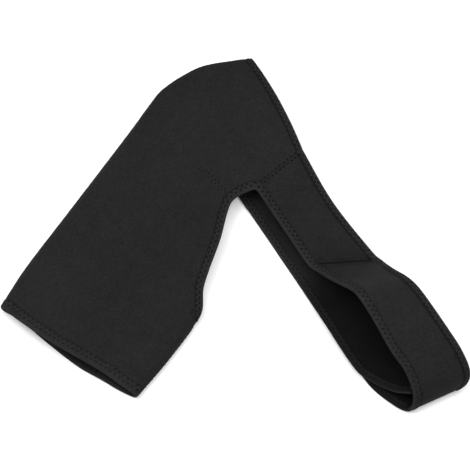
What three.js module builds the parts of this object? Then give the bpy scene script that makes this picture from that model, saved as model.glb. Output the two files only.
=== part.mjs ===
// Shoulder brace lying on its back: a neoprene arm sleeve with a shoulder cap, and two straps
// that are fastened to each other in a loop. Millimetres, +Z up.
// Plan places in the tables are measured from the lower left corner of the spread-out brace.
import * as THREE from 'three';
import { mergeVertices } from 'three/addons/utils/BufferGeometryUtils.js';

// Cloth, edge tape and the clearance between sewn pieces
const WALL = 3;
const TAPE = 0.6;
const TAPE_WIDTH = 7;
const CUFF_TAPE_WIDTH = 9;
const OUTER_TAPE_WIDTH = 5;
const STRAP_TAPES = { near: TAPE_WIDTH, far: OUTER_TAPE_WIDTH };
const SEW_GAP = 0.3;
const HALF_WALL = WALL / 2;
const TAPE_INSIDE = HALF_WALL + SEW_GAP;
const TAPE_OUTSIDE = TAPE_INSIDE + TAPE;

// The plan point that stands over the origin: the middle of the brace
const PLAN_CENTRE = { x: 234.1, y: 249.8 };

// Where the underarm seam ends and the armhole begins, and where the straps are sewn on,
// as shares of the way from the cuff (0) to the neck edge (1)
const NOTCH_WAY = 0.265;
const STRAP_WAY = 0.8;
const FOLD_LENGTH = 376;
const TAPE_WAY = TAPE_WIDTH / FOLD_LENGTH;
const CUFF_TAPE_WAY = CUFF_TAPE_WIDTH / FOLD_LENGTH;
const NECK_TAPE_WAY = OUTER_TAPE_WIDTH / FOLD_LENGTH;
const OPEN_WAY = 0.045;

// Half the depth of the rounded underarm seam
const SEAM_BEND = 5.5;
const SEAM_Z = HALF_WALL + SEAM_BEND;
const SEAM_TOP = SEAM_Z + SEAM_BEND;

// How much further the tape's back stands off in the narrow bottom of the armhole
const NOTCH_MITER = 3.6;
const NOTCH_SIDE_MITER = 1.7;
const NOTCH_SIDE_ROWS = 2;

// How far a taped edge stands up from the floor, and how far in the lift dies out
const LIFT = 1;
const LIFT_FROM = 8;
const LIFT_TO = 24;

// How far each layer of the cuff's edge bows out, along the way from the fold to the seam
const CUFF_LINE = [
  { way: 0, front: 0, back: 0 },
  { way: 0.13, front: 3.2, back: -1.5 },
  { way: 0.37, front: 5, back: 2.8 },
  { way: 0.6, front: 2.8, back: 5.4 },
  { way: 0.76, front: 0.8, back: 3.6 },
  { way: 0.9, front: 0.8, back: 2.4 },
  { way: 1, front: 0, back: 0 },
];

// How far the neck edge bows out between its ends
const NECK_BOW = 3;

// Heights of the straps' middle surface: the tail on the floor, and the back strap lying on it
const TAIL_Z = 2.5;
const OVERLAP_Z = 7.6;

// Outer edge of the flattened body: the fold down the arm, then the seam over the shoulder.
// bend is half the depth at the fold, swell the rise of the front layer over a straight line.
const FOLD_LINE = [
  { way: 0.0, x: 2.8, y: 170.5, bend: 5.5, swell: 9.5 },
  { way: 0.12, x: 26, y: 208.6, bend: 8, swell: 9 },
  { way: 0.3, x: 65.6, y: 264.2, bend: 9, swell: 9.5 },
  { way: 0.6, x: 131, y: 357.2, bend: 8, swell: 7 },
  { way: 0.7, x: 151.8, y: 388.5, bend: 7, swell: 6 },
  { way: 0.74, x: 161.6, y: 401.3, bend: 6.5, swell: 6 },
  { way: 0.81, x: 182.5, y: 417, bend: 6, swell: 5.5 },
  { way: 0.88, x: 205, y: 428.3, bend: 5.5, swell: 5 },
  { way: 1.0, x: 250.8, y: 436, bend: 5, swell: 4 },
];

// Inner edge of the body, front and back: underarm seam, notch, armhole, then the strap seam.
const RIM_LINE = [
  { way: 0.0, frontX: 137, frontY: 78, frontZ: SEAM_Z, backX: 137, backY: 78 },
  { way: 0.13, frontX: 167.2, frontY: 115.5, frontZ: SEAM_Z, backX: 167.2, backY: 115.5 },
  { way: NOTCH_WAY, frontX: 196.8, frontY: 157.6, frontZ: SEAM_Z, backX: 196.8, backY: 157.6 },
  { way: 0.295, frontX: 201.6, frontY: 166, frontZ: 13, backX: 198, backY: 167.2 },
  { way: 0.37, frontX: 202.5, frontY: 186.5, frontZ: 17, backX: 197.5, backY: 190.5 },
  { way: 0.44, frontX: 208.2, frontY: 206, frontZ: 20, backX: 201, backY: 212 },
  { way: 0.545, frontX: 219.2, frontY: 237, frontZ: 22.5, backX: 209, backY: 244 },
  { way: 0.675, frontX: 228.6, frontY: 272.5, frontZ: 24, backX: 216, backY: 279 },
  { way: 0.73, frontX: 236.6, frontY: 282.5, frontZ: 24.5, backX: 222, backY: 294 },
  { way: STRAP_WAY, frontX: 256, frontY: 292, frontZ: 25, backX: 231, backY: 304, corner: true },
  { way: 1.0, frontX: 302, frontY: 332, frontZ: 23, backX: 274.5, backY: 332.5 },
];

// Soft hollows (negative) and swells of the front layer around the shoulder
const DENTS = [
  { x: 190, y: 283, reach: 26, height: -2.5 },
  { x: 200, y: 311, reach: 20, height: 2 },
  { x: 246, y: 338, reach: 28, height: -2.5 },
];

// Front strap, a row for each straight line across it, from the shoulder to the tail's end
const FRONT_STRAP = [
  { nearX: 256, nearY: 292, nearZ: 25, farX: 302, farY: 332, farZ: 23 },
  { nearX: 292, nearY: 237.5, nearZ: 20, farX: 333.5, farY: 275, farZ: 20 },
  { nearX: 305, nearY: 218, nearZ: 16.5, farX: 373.5, farY: 222.3, farZ: 17.6 },
  { nearX: 309.5, nearY: 212, nearZ: 15.5, farX: 380, farY: 217, farZ: 17 },
  { nearX: 314.5, nearY: 207.5, nearZ: 18, farX: 383, farY: 213, farZ: 20 },
  { nearX: 333, nearY: 189.5, nearZ: 35, farX: 391.5, farY: 200.2, farZ: 37 },
  { nearX: 352, nearY: 173.5, nearZ: 50, farX: 406.5, farY: 185.4, farZ: 51 },
  { nearX: 360, nearY: 163, nearZ: 52.5, farX: 415.6, farY: 175.2, farZ: 53.5 },
  { nearX: 372, nearY: 143.5, nearZ: 50, farX: 428.6, farY: 157, farZ: 52 },
  { nearX: 390, nearY: 112, nearZ: 44, farX: 446, farY: 131.6, farZ: 47 },
  { nearX: 403, nearY: 94.5, nearZ: 38, farX: 457, farY: 115.6, farZ: 41 },
  { nearX: 411, nearY: 76.5, nearZ: 29, farX: 465.6, farY: 98.5, farZ: 31 },
  { nearX: 411.5, nearY: 66, nearZ: 17.5, farX: 465.2, farY: 91, farZ: 17 },
  { nearX: 406, nearY: 63.6, nearZ: 5.5, farX: 457, farY: 88.2, farZ: 5.5 },
  { nearX: 392, nearY: 71, nearZ: 3, farX: 437.5, farY: 101, farZ: 3 },
  { nearX: 368, nearY: 92.5, nearZ: TAIL_Z, farX: 413.5, farY: 122, farZ: TAIL_Z },
  { nearX: 333.5, nearY: 146.5, nearZ: TAIL_Z, farX: 378.5, farY: 175.5, farZ: TAIL_Z },
];

// Back strap, from the shoulder to its end inside the turn of the front strap
const BACK_STRAP = [
  { nearX: 231, nearY: 304, nearZ: TAIL_Z, farX: 274.5, farY: 332.5, farZ: TAIL_Z },
  { nearX: 265, nearY: 251, nearZ: TAIL_Z, farX: 309, farY: 279.5, farZ: TAIL_Z },
  { nearX: 305.7, nearY: 187, nearZ: TAIL_Z, farX: 349.7, farY: 215.5, farZ: TAIL_Z, corner: true },
  { nearX: 325.1, nearY: 154, nearZ: OVERLAP_Z, farX: 369.1, farY: 182.5, farZ: OVERLAP_Z },
  { nearX: 356, nearY: 105, nearZ: OVERLAP_Z, farX: 400.5, farY: 133.5, farZ: OVERLAP_Z },
  { nearX: 371, nearY: 93, nearZ: 9, farX: 416.5, farY: 120, farZ: 9 },
  { nearX: 392, nearY: 81.5, nearZ: 13, farX: 440.5, farY: 105.5, farZ: 13 },
  { nearX: 409.5, nearY: 77, nearZ: 20.5, farX: 459.5, farY: 98, farZ: 20.5 },
];

// Hook-and-loop patch between the tail and the back strap
const PATCH = { width: 30, length: 40, thickness: 1.6, x: 366, y: 140.5 };

// Grid steps
const FOLD_ANGLES = [0, 30, 60, 90];
const SEAM_ANGLES = [90, 45, 0];
const MIDDLE_COLUMNS = 8;
const SLEEVE_STEP_WAY = 0.042;
const OPEN_STEP_WAY = 0.015;
const STRAP_STEP = 6;
const STRAP_COLUMNS = 3;
const SLOPE_STEP = 0.004;
const LEAST_SINE = 0.6;
const ROUNDING = 1e-6;
const JOIN_WITHIN = 1e-4;

const NEOPRENE = { color: 0x272728, roughness: 0.85, metalness: 0 };
const BINDING = { color: 0x2b2b2c, roughness: 0.75, metalness: 0 };
const HOOKS = { color: 0x1c1c1d, roughness: 0.9, metalness: 0 };

const radians = THREE.MathUtils.degToRad;

// Evenly spaced values from first to last, with steps no longer than step, the last one left out.
function spread(first, last, step) {
  const count = Math.max(1, Math.ceil((last - first) / step - ROUNDING));
  return Array.from({ length: count }, (_, k) => first + ((last - first) * k) / count);
}

// Slope of a table's column at a row: through its neighbours, or one-sided at ends and corners.
function slopeAt(rows, index, side, column) {
  const free = index === 0 || index === rows.length - 1 || rows[index].corner;
  const before = rows[free ? index + Math.min(side, 0) : index - 1];
  const after = rows[free ? index + Math.max(side, 0) : index + 1];
  return (after[column] - before[column]) / (after.way - before.way);
}

// Smooth value of one column of a table at a share of the way, a cubic between two rows.
function smooth(rows, way, column) {
  const found = rows.findIndex((row) => row.way >= way);
  const next = Math.max(1, found < 0 ? rows.length - 1 : found);
  const a = rows[next - 1];
  const b = rows[next];
  const span = b.way - a.way;
  const t = (way - a.way) / span;
  const rise = b[column] - a[column];
  const leave = slopeAt(rows, next - 1, 1, column) * span - rise;
  const arrive = slopeAt(rows, next, -1, column) * span - rise;
  return a[column] + rise * t + t * (1 - t) * ((1 - t) * leave - t * arrive);
}

// Height share of a rounded edge: 1 at the edge, 0 from one bend radius inwards (quarter circle).
function roundedEdge(distance, bend) {
  if (distance >= bend) return 0;
  const inward = 1 - distance / bend;
  return 1 - Math.sqrt(1 - inward * inward);
}

// Parabola over a row: 0 at both ends, 1 in the middle.
function arch(share) {
  return 4 * share * (1 - share);
}

// Lift of a taped edge over the floor at a distance from that edge.
function edgeLift(distance) {
  return LIFT * (1 - THREE.MathUtils.smoothstep(distance, LIFT_FROM, LIFT_TO));
}

// Distance along a row that covers a tape's width, where the row meets the edge at a slant.
function slantWidth(width, rowDirection, edgeDirection) {
  const sine = rowDirection.clone().cross(edgeDirection).length();
  return width / Math.max(sine, LEAST_SINE);
}

// Sum of the soft hollows and swells at a plan point.
function dentHeight(x, y) {
  return DENTS.reduce((sum, dent) => {
    const far = Math.hypot(x - dent.x, y - dent.y) / dent.reach;
    return sum + dent.height * Math.exp(-far * far);
  }, 0);
}

// Plan point of the fold line, or of a rim ("front" or "back").
function foldPoint(way) {
  return new THREE.Vector3(smooth(FOLD_LINE, way, 'x'), smooth(FOLD_LINE, way, 'y'), 0);
}

function rimPoint(way, layer) {
  return new THREE.Vector3(smooth(RIM_LINE, way, `${layer}X`), smooth(RIM_LINE, way, `${layer}Y`), 0);
}

// Level direction that a row across the body bows in: square to it, towards the hand.
function bowAxis(way) {
  const row = rimPoint(way, 'front').sub(foldPoint(way)).normalize();
  return row.cross(new THREE.Vector3(0, 0, 1));
}

const CUFF_AXIS = bowAxis(0);
const NECK_AXIS = bowAxis(1).negate();

// Shift of the rows near the cuff and near the neck edge, which fades towards the middle.
function edgeBow(way, share, layer) {
  const atCuff = Math.max(0, 1 - way / NOTCH_WAY);
  const atNeck = Math.max(0, 1 - (1 - way) / (1 - STRAP_WAY));
  const cuff = CUFF_AXIS.clone().multiplyScalar(smooth(CUFF_LINE, share, layer) * atCuff * atCuff);
  return cuff.addScaledVector(NECK_AXIS, NECK_BOW * arch(share) * atNeck * atNeck);
}

// Distances from the fold at which a row of one layer has its points, up to the rim.
function rowDistances(way, layer, length) {
  const bend = smooth(FOLD_LINE, way, 'bend');
  const atFold = FOLD_ANGLES.map((angle) => bend * (1 - Math.cos(radians(angle))));
  const ahead = rimPoint(Math.min(1, way + SLOPE_STEP), layer);
  const edgeDirection = ahead.sub(rimPoint(way - SLOPE_STEP, layer)).normalize();
  const rowDirection = rimPoint(way, layer).sub(foldPoint(way)).normalize();
  const width = slantWidth(TAPE_WIDTH, rowDirection, edgeDirection);
  const sewn = SEAM_ANGLES.map((angle) => length - SEAM_BEND * (1 - Math.cos(radians(angle))));
  const taped = [length - 2 * width, length - width, length];
  const open = openShare(way);
  const atRim = sewn.map((distance, k) => THREE.MathUtils.lerp(distance, taped[k], open));
  const gap = (atRim[0] - bend) / MIDDLE_COLUMNS;
  return [...atFold.slice(0, -1), ...spread(bend, atRim[0] - gap / 2, gap), ...atRim];
}

// How far the armhole has opened at a share of the way: 0 at the notch, 1 a little above it.
function openShare(way) {
  return THREE.MathUtils.smoothstep(way, NOTCH_WAY, NOTCH_WAY + OPEN_WAY);
}

// Lift of a whole row over the floor, near the taped cuff and neck edges.
function rowLift(way) {
  return Math.max(edgeLift(way * FOLD_LENGTH), edgeLift((1 - way) * FOLD_LENGTH));
}

// Middle-surface heights of the front and back layers at a distance from the fold.
function frontHeight(way, distance, length, plan) {
  const bend = smooth(FOLD_LINE, way, 'bend');
  const share = distance / length;
  const rimZ = smooth(RIM_LINE, way, 'frontZ');
  const rimTop = Math.max(rimZ, SEAM_TOP);
  const foldTop = HALF_WALL + 2 * bend + rowLift(way);
  const swell = smooth(FOLD_LINE, way, 'swell') * arch(share);
  const dent = dentHeight(plan.x, plan.y) * Math.min(1, 2 * arch(share));
  const atFold = bend * roundedEdge(distance, bend);
  const atRim = (rimTop - rimZ) * roundedEdge(length - distance, SEAM_BEND);
  return THREE.MathUtils.lerp(foldTop, rimTop, share) + swell + dent - atFold - atRim;
}

function backHeight(way, distance, length) {
  const bend = smooth(FOLD_LINE, way, 'bend');
  const nearNotch = THREE.MathUtils.smoothstep(way, NOTCH_WAY - 2 * TAPE_WAY, NOTCH_WAY);
  const lift = Math.max(rowLift(way), nearNotch * edgeLift(length - distance));
  const seam = (1 - openShare(way)) * (SEAM_BEND - lift) * roundedEdge(length - distance, SEAM_BEND);
  return HALF_WALL + lift + bend * roundedEdge(distance, bend) + seam;
}

// One layer of a row, from the fold to the rim.
function layerRow(way, layer) {
  const fold = foldPoint(way);
  const across = rimPoint(way, layer).sub(fold);
  const length = across.length();
  return rowDistances(way, layer, length).map((distance) => {
    const share = distance / length;
    const plan = fold.clone().addScaledVector(across, share).add(edgeBow(way, share, layer));
    const front = layer === 'front';
    plan.z = front ? frontHeight(way, distance, length, plan) : backHeight(way, distance, length);
    return plan;
  });
}

// A whole row: from the front rim over the fold to the back rim, closed at the underarm seam.
function sleeveRow(way) {
  const row = [...layerRow(way, 'front').reverse(), ...layerRow(way, 'back').slice(1)];
  if (way <= NOTCH_WAY) row[row.length - 1] = row[0].clone();
  return row;
}

// Rulings of a strap at even steps along it, each with points from its first to its second edge.
function strapRows(table, firstEdge, secondEdge) {
  const end = (row, edge) => new THREE.Vector3(row[`${edge}X`], row[`${edge}Y`], row[`${edge}Z`]);
  let run = 0;
  const rows = table.map((row, k) => {
    const last = table[Math.max(0, k - 1)];
    const [near, far] = ['near', 'far'].map((edge) => end(row, edge).distanceTo(end(last, edge)));
    run += (near + far) / 2;
    return { ...row, way: run };
  });
  const read = (way, edge) => {
    const [x, y, z] = ['X', 'Y', 'Z'].map((axis) => smooth(rows, way, edge + axis));
    return new THREE.Vector3(x, y, z);
  };
  return [...spread(SEW_GAP, run, STRAP_STEP), run].map((way) => {
    const first = read(way, firstEdge);
    const across = read(way, secondEdge).sub(first);
    const edgeDirection = read(way, firstEdge).sub(read(way - SEW_GAP, firstEdge)).normalize();
    const [left, right] = [firstEdge, secondEdge].map(
      (edge) => slantWidth(STRAP_TAPES[edge], across.clone().normalize(), edgeDirection) / across.length(),
    );
    const step = (1 - left - right) / STRAP_COLUMNS;
    const shares = [0, ...spread(left, 1 - right, step), 1 - right, 1];
    return shares.map((share) => first.clone().addScaledVector(across, share));
  });
}

// A cloth panel: a grid of middle-surface points with their normals, walled to its thickness.
// The first sewnRows rows are closed in a ring, their last point being their first.
class Panel {
  constructor(rows, sewnRows = 0) {
    this.lastRow = rows.length - 1;
    this.lastColumn = rows[0].length - 1;
    this.sewnRows = sewnRows;
    const middle = new THREE.BufferGeometry().setFromPoints(rows.flat());
    middle.setIndex(this.faces());
    middle.computeVertexNormals();
    this.points = middle.getAttribute('position');
    this.normals = middle.getAttribute('normal');
  }

  index(row, column) {
    const joined = row < this.sewnRows && column === this.lastColumn;
    return row * (this.lastColumn + 1) + (joined ? 0 : column);
  }

  faces() {
    const faces = [];
    for (let row = 0; row < this.lastRow; row += 1) {
      for (let column = 0; column < this.lastColumn; column += 1) {
        const a = this.index(row, column);
        const b = this.index(row + 1, column);
        const c = this.index(row + 1, column + 1);
        const d = this.index(row, column + 1);
        faces.push(a, b, d, b, c, d);
      }
    }
    return faces;
  }

  at(row, column) {
    const index = this.index(row, column);
    return {
      point: new THREE.Vector3().fromBufferAttribute(this.points, index),
      normal: new THREE.Vector3().fromBufferAttribute(this.normals, index),
    };
  }

  geometry() {
    const count = this.points.count;
    const walls = [HALF_WALL, -HALF_WALL].flatMap((offset) => Array.from({ length: count }, (_, k) => {
      const normal = new THREE.Vector3().fromBufferAttribute(this.normals, k);
      return new THREE.Vector3().fromBufferAttribute(this.points, k).addScaledVector(normal, offset);
    }));
    const outer = this.faces();
    const inner = outer.map((index) => index + count).reverse();
    return solid(walls, [...outer, ...inner, ...rimFaces(outer, count)]);
  }
}

// Faces that close the wall along the free edges of its outer surface.
function rimFaces(outer, count) {
  const edges = new Map();
  for (let k = 0; k < outer.length; k += 3) {
    for (let side = 0; side < 3; side += 1) {
      const from = outer[k + side];
      const to = outer[k + ((side + 1) % 3)];
      if (!edges.delete(`${to} ${from}`)) edges.set(`${from} ${to}`, [from, to]);
    }
  }
  return [...edges.values()].flatMap(([from, to]) => {
    const [below, belowNext] = [from + count, to + count];
    return [to, from, below, to, below, belowNext];
  });
}

// A closed body from its points and triangles, with doubled points joined and empty faces dropped.
function solid(points, faces) {
  const loose = new THREE.BufferGeometry().setFromPoints(points);
  loose.setIndex(faces);
  const joined = mergeVertices(loose.toNonIndexed(), JOIN_WITHIN);
  const index = joined.getIndex().array;
  const kept = [];
  for (let k = 0; k < index.length; k += 3) {
    const [a, b, c] = index.slice(k, k + 3);
    if (a !== b && b !== c && c !== a) kept.push(a, b, c);
  }
  joined.setIndex(kept);
  joined.computeVertexNormals();
  return joined;
}

// Signed volume of a closed triangle body.
function volume(points, faces) {
  let sum = 0;
  for (let k = 0; k < faces.length; k += 3) {
    const [a, b, c] = [0, 1, 2].map((side) => points[faces[k + side]]);
    sum += a.dot(b.clone().cross(c)) / 6;
  }
  return sum;
}

// Section of the folded tape at one place: a U over the wall from tip to edge and back.
// Tip and edge lie on the wall's middle surface, and the tape's back stands off the edge, by more
// (miter) in the bottom of a narrow notch.
function tapeSection({ edge, tip, away, miter = 1 }) {
  const out = (away ?? edge.point.clone().sub(tip.point)).clone();
  out.addScaledVector(edge.normal, -out.dot(edge.normal)).normalize();
  const place = (from, reach, offset) =>
    from.point.clone().addScaledVector(out, reach * miter).addScaledVector(from.normal, offset);
  const leg = (side) => [place(tip, 0, side * TAPE_OUTSIDE), place(edge, SEW_GAP, side * TAPE_OUTSIDE)];
  const back = (side) => place(edge, SEW_GAP + TAPE, side * TAPE_INSIDE);
  const hollow = (side) => [place(tip, 0, side * TAPE_INSIDE), place(edge, SEW_GAP, side * TAPE_INSIDE)];
  return [...leg(1), back(1), back(-1), ...leg(-1).reverse(), ...hollow(-1), ...hollow(1).reverse()];
}

// The sides of that section whose faces are split the other way, as the faces of the wall are:
// those from the tip to the edge, and the two along the edge.
const CROSS_SPLIT_SIDES = [0, 2, 6, 7];

// Flat outline of the tape's section, for closing its ends.
const SECTION_OUTLINE = tapeSection({
  edge: { point: new THREE.Vector3(), normal: new THREE.Vector3(0, 1, 0) },
  tip: { point: new THREE.Vector3(-TAPE_WIDTH, 0, 0), normal: new THREE.Vector3(0, 1, 0) },
}).map((corner) => new THREE.Vector2(corner.x, corner.y));

// Folded edge tape carried along its stations, in a ring or with two closed ends.
function bindingGeometry(stations, ring = false) {
  const sections = stations.map(tapeSection);
  const sides = sections[0].length;
  const points = sections.flat();
  const faces = [];
  const joints = ring ? sections.length : sections.length - 1;
  for (let k = 0; k < joints; k += 1) {
    const next = (k + 1) % sections.length;
    for (let side = 0; side < sides; side += 1) {
      const turn = (side + 1) % sides;
      const [a, b] = [k * sides + side, k * sides + turn];
      const [d, c] = [next * sides + side, next * sides + turn];
      faces.push(...(CROSS_SPLIT_SIDES.includes(side) ? [a, b, d, b, c, d] : [a, b, c, a, c, d]));
    }
  }
  if (!ring) {
    const last = points.length - sides;
    const cap = THREE.ShapeUtils.triangulateShape(SECTION_OUTLINE, []);
    const clockwise = THREE.ShapeUtils.area(SECTION_OUTLINE) < 0;
    cap.forEach((corners) => {
      const [a, b, c] = clockwise ? corners : [...corners].reverse();
      faces.push(a, b, c, last + a, last + c, last + b);
    });
  }
  return solid(points, volume(points, faces) < 0 ? faces.reverse() : faces);
}

// Stations of the edge tape along a panel's first or last column.
function columnStations(panel, column, rows) {
  const inner = column === 0 ? 1 : column - 1;
  return rows.map((row) => ({ edge: panel.at(row, column), tip: panel.at(row, inner) }));
}

// Stations along the armhole's front or back edge, whose tape stands off more beside the notch.
function armholeStations(column, rows) {
  return columnStations(sleeve, column, rows).map((station, k) => {
    const besideNotch = rows[k] <= notchRow + NOTCH_SIDE_ROWS;
    return { ...station, miter: besideNotch ? NOTCH_SIDE_MITER : 1 };
  });
}

const countUp = (first, last) => Array.from({ length: last - first + 1 }, (_, k) => first + k);
const countDown = (first, last) => countUp(last, first).reverse();

// Rows of the sleeve's grid: the cuff's tape, the tube, the armhole, and the cap up to the neck.
const rowWays = [
  0,
  ...spread(CUFF_TAPE_WAY, NOTCH_WAY - TAPE_WAY, SLEEVE_STEP_WAY),
  NOTCH_WAY - TAPE_WAY,
  ...spread(NOTCH_WAY, NOTCH_WAY + OPEN_WAY, OPEN_STEP_WAY),
  ...spread(NOTCH_WAY + OPEN_WAY, STRAP_WAY, SLEEVE_STEP_WAY),
  STRAP_WAY,
  ...spread(STRAP_WAY + TAPE_WAY, 1 - NECK_TAPE_WAY, SLEEVE_STEP_WAY),
  1 - NECK_TAPE_WAY,
  1,
];
const notchRow = rowWays.indexOf(NOTCH_WAY);
const strapRow = rowWays.indexOf(STRAP_WAY);

const sleeve = new Panel(rowWays.map(sleeveRow), notchRow + 1);
const frontStrap = new Panel(strapRows(FRONT_STRAP, 'near', 'far'));
const backStrap = new Panel(strapRows(BACK_STRAP, 'far', 'near'));

// Tape stations that fan out round a corner of the sleeve's edge, over the given grid places.
function fan(corner, tips, away, miter = 1) {
  return tips.map((tip) => ({ edge: sleeve.at(...corner), tip: sleeve.at(...tip), away, miter }));
}

const { lastRow, lastColumn } = sleeve;

// Direction into the armhole from one of its corners, midway between the two edges that meet there.
function intoArmhole(corner, first, second) {
  const alongFirst = first.point.sub(corner.point).normalize();
  const alongSecond = second.point.sub(corner.point).normalize();
  return alongFirst.add(alongSecond);
}

const fromNotch = intoArmhole(
  sleeve.at(notchRow, 0),
  sleeve.at(notchRow + 1, 0),
  sleeve.at(notchRow + 1, lastColumn),
);
const fromFrontStrap = intoArmhole(
  sleeve.at(strapRow, 0),
  sleeve.at(strapRow - 1, 0),
  frontStrap.at(1, 0),
);
const fromBackStrap = intoArmhole(
  sleeve.at(strapRow, lastColumn),
  sleeve.at(strapRow - 1, lastColumn),
  backStrap.at(1, backStrap.lastColumn),
);

const innerStations = [
  ...columnStations(frontStrap, 0, countDown(frontStrap.lastRow, 0)),
  ...fan(
    [strapRow, 0],
    [[strapRow + 1, 0], [strapRow, 1]],
    fromFrontStrap,
  ),
  ...armholeStations(0, countDown(strapRow - 1, notchRow + 1)),
  ...fan(
    [notchRow, 0],
    [[notchRow, 1], [notchRow - 1, 1], [notchRow - 1, 0], [notchRow, lastColumn - 1]],
    fromNotch,
    NOTCH_MITER,
  ),
  ...armholeStations(lastColumn, countUp(notchRow + 1, strapRow - 1)),
  ...fan(
    [strapRow, lastColumn],
    [[strapRow, lastColumn - 1], [strapRow + 1, lastColumn - 1], [strapRow + 1, lastColumn]],
    fromBackStrap,
  ),
  ...columnStations(backStrap, backStrap.lastColumn, countUp(0, backStrap.lastRow)),
];

// Stations across all columns of the sleeve, along its first or last row.
function rowStations(row, inner, columns) {
  return columns.map((column) => ({ edge: sleeve.at(row, column), tip: sleeve.at(inner, column) }));
}

const outerStations = [
  ...columnStations(frontStrap, frontStrap.lastColumn, countDown(frontStrap.lastRow, 0)),
  ...rowStations(lastRow, lastRow - 1, countUp(0, lastColumn)),
  ...columnStations(backStrap, 0, countUp(0, backStrap.lastRow)),
];

const cuffStations = rowStations(0, 1, countUp(0, lastColumn - 1));

function mesh(name, geometry, finish) {
  const piece = new THREE.Mesh(geometry, new THREE.MeshStandardMaterial(finish));
  piece.name = name;
  return piece;
}

// The patch lies along the straps where they overlap.
function hookPatch() {
  const { width, length, thickness, x, y } = PATCH;
  const piece = mesh('hook_patch', new THREE.BoxGeometry(width, length, thickness), HOOKS);
  const [upper, lower] = BACK_STRAP.filter((row) => row.nearZ === OVERLAP_Z);
  piece.position.set(x, y, (TAIL_Z + OVERLAP_Z) / 2);
  piece.rotation.z = Math.atan2(lower.nearX - upper.nearX, upper.nearY - lower.nearY);
  return piece;
}

const brace = new THREE.Group();
brace.name = 'shoulder_brace';
brace.add(
  mesh('sleeve', sleeve.geometry(), NEOPRENE),
  mesh('front_strap', frontStrap.geometry(), NEOPRENE),
  mesh('back_strap', backStrap.geometry(), NEOPRENE),
  hookPatch(),
  mesh('cuff_binding', bindingGeometry(cuffStations, true), BINDING),
  mesh('inner_binding', bindingGeometry(innerStations), BINDING),
  mesh('outer_binding', bindingGeometry(outerStations), BINDING),
);
brace.position.set(-PLAN_CENTRE.x, -PLAN_CENTRE.y, 0);

export default brace;
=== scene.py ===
"""Looks of the black neoprene shoulder brace, laid on its back with its straps fastened in a loop.

The cloth is made as curved sheets worked out with numpy, with folded edge tape, zigzag stitching and
knitted finishes. Tables hold millimetres in the plan of the spread-out brace, measured from its lower
left corner; the meshes are metres in the row's frame.
"""
from __future__ import annotations

import logging
import math
from dataclasses import dataclass, field, replace
from enum import Enum
from typing import Sequence

import bpy
import numpy as np
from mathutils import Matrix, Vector


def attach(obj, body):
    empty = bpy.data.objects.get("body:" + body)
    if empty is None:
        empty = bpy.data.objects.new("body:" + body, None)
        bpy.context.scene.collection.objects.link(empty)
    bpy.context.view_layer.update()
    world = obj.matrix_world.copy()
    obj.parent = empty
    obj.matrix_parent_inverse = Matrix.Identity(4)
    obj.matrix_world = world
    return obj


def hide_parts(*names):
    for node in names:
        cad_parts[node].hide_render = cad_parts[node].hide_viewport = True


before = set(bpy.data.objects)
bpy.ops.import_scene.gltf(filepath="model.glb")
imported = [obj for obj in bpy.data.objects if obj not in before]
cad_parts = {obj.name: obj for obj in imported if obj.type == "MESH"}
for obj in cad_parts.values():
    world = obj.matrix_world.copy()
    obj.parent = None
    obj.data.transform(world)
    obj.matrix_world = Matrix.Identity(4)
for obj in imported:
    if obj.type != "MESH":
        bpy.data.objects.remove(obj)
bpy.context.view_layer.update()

LOG = logging.getLogger("shoulder_brace")
Array = np.ndarray

MM = 0.001
PLAN_CENTRE = np.array([234.1, 249.8, 0.0])
BODY = "root"

# Half the cloth's thickness, and how far each edge tape reaches in
HALF_WALL = 1.5
TAPE_WIDTH = 7.0
CUFF_TAPE_WIDTH = 9.0
OUTER_TAPE_WIDTH = 5.0

# Share by which the inner tape narrows at the notch, and how much of the wear and painted highlight on its
# fold is kept on the loop, where the fold lies in shade
NOTCH_PINCH = 0.45
LOOP_WEAR_AND_HIGHLIGHT = 0.1

# Height under which tapes and stitches are pressed up from the floor
FLOOR_GAP = 0.4

# How far an edge line is averaged, all along and at its corners
SOFT_REACH = 1.2
CORNER_REACH = 3.4

# Least sine of the slant between an edge and the lines across the cloth
LEAST_SINE = 0.6


class Table:
    """Rows of named columns over a rising way, read as smooth curves."""

    def __init__(self, names: str, rows: Sequence[Sequence[float]], corners: Sequence[int] = ()) -> None:
        """Keeps the columns by name.

        Args:
            names: column names, the first of them the way.
            rows: one sequence of numbers for each row.
            corners: indices of rows where the curve may bend sharply.
        """
        values = np.array(rows, dtype=float)
        self.columns: dict[str, Array] = dict(zip(names.split(), values.T))
        self.way: Array = values[:, 0]
        self.corners = list(corners)

    def slopes(self, column: str) -> tuple[Array, Array]:
        """Slopes of a column on either side of each row.

        A slope runs through the row's two neighbours, or is one-sided at ends and corners.

        Args:
            column: the column's name.

        Returns:
            The slopes before and after each row.
        """
        value = self.columns[column]
        step = np.diff(value) / np.diff(self.way)
        through = np.empty_like(value)
        through[1:-1] = (value[2:] - value[:-2]) / (self.way[2:] - self.way[:-2])
        before, after = through.copy(), through.copy()
        free = np.array(sorted({0, len(value) - 1, *self.corners}))
        before[free] = step[np.maximum(free - 1, 0)]
        after[free] = step[np.minimum(free, len(step) - 1)]
        return before, after

    def read(self, column: str, way: Array) -> Array:
        """Smooth value of a column: between two rows, the straight line plus a cubic that meets the slopes.

        Args:
            column: the column's name.
            way: where to read it.

        Returns:
            The values, in the shape of way.
        """
        value = self.columns[column]
        before, after = self.slopes(column)
        upper = np.clip(np.searchsorted(self.way, way, side="left"), 1, len(value) - 1)
        lower = upper - 1
        span = self.way[upper] - self.way[lower]
        share = (way - self.way[lower]) / span
        rise = value[upper] - value[lower]
        leave = after[lower] * span - rise
        arrive = before[upper] * span - rise
        bow = share * (1 - share) * ((1 - share) * leave - share * arrive)
        return value[lower] + rise * share + bow

    def places(self, names: str, way: Array) -> Array:
        """Several columns side by side, as points along the last axis."""
        return np.stack([self.read(name, way) for name in names.split()], axis=-1)


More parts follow.
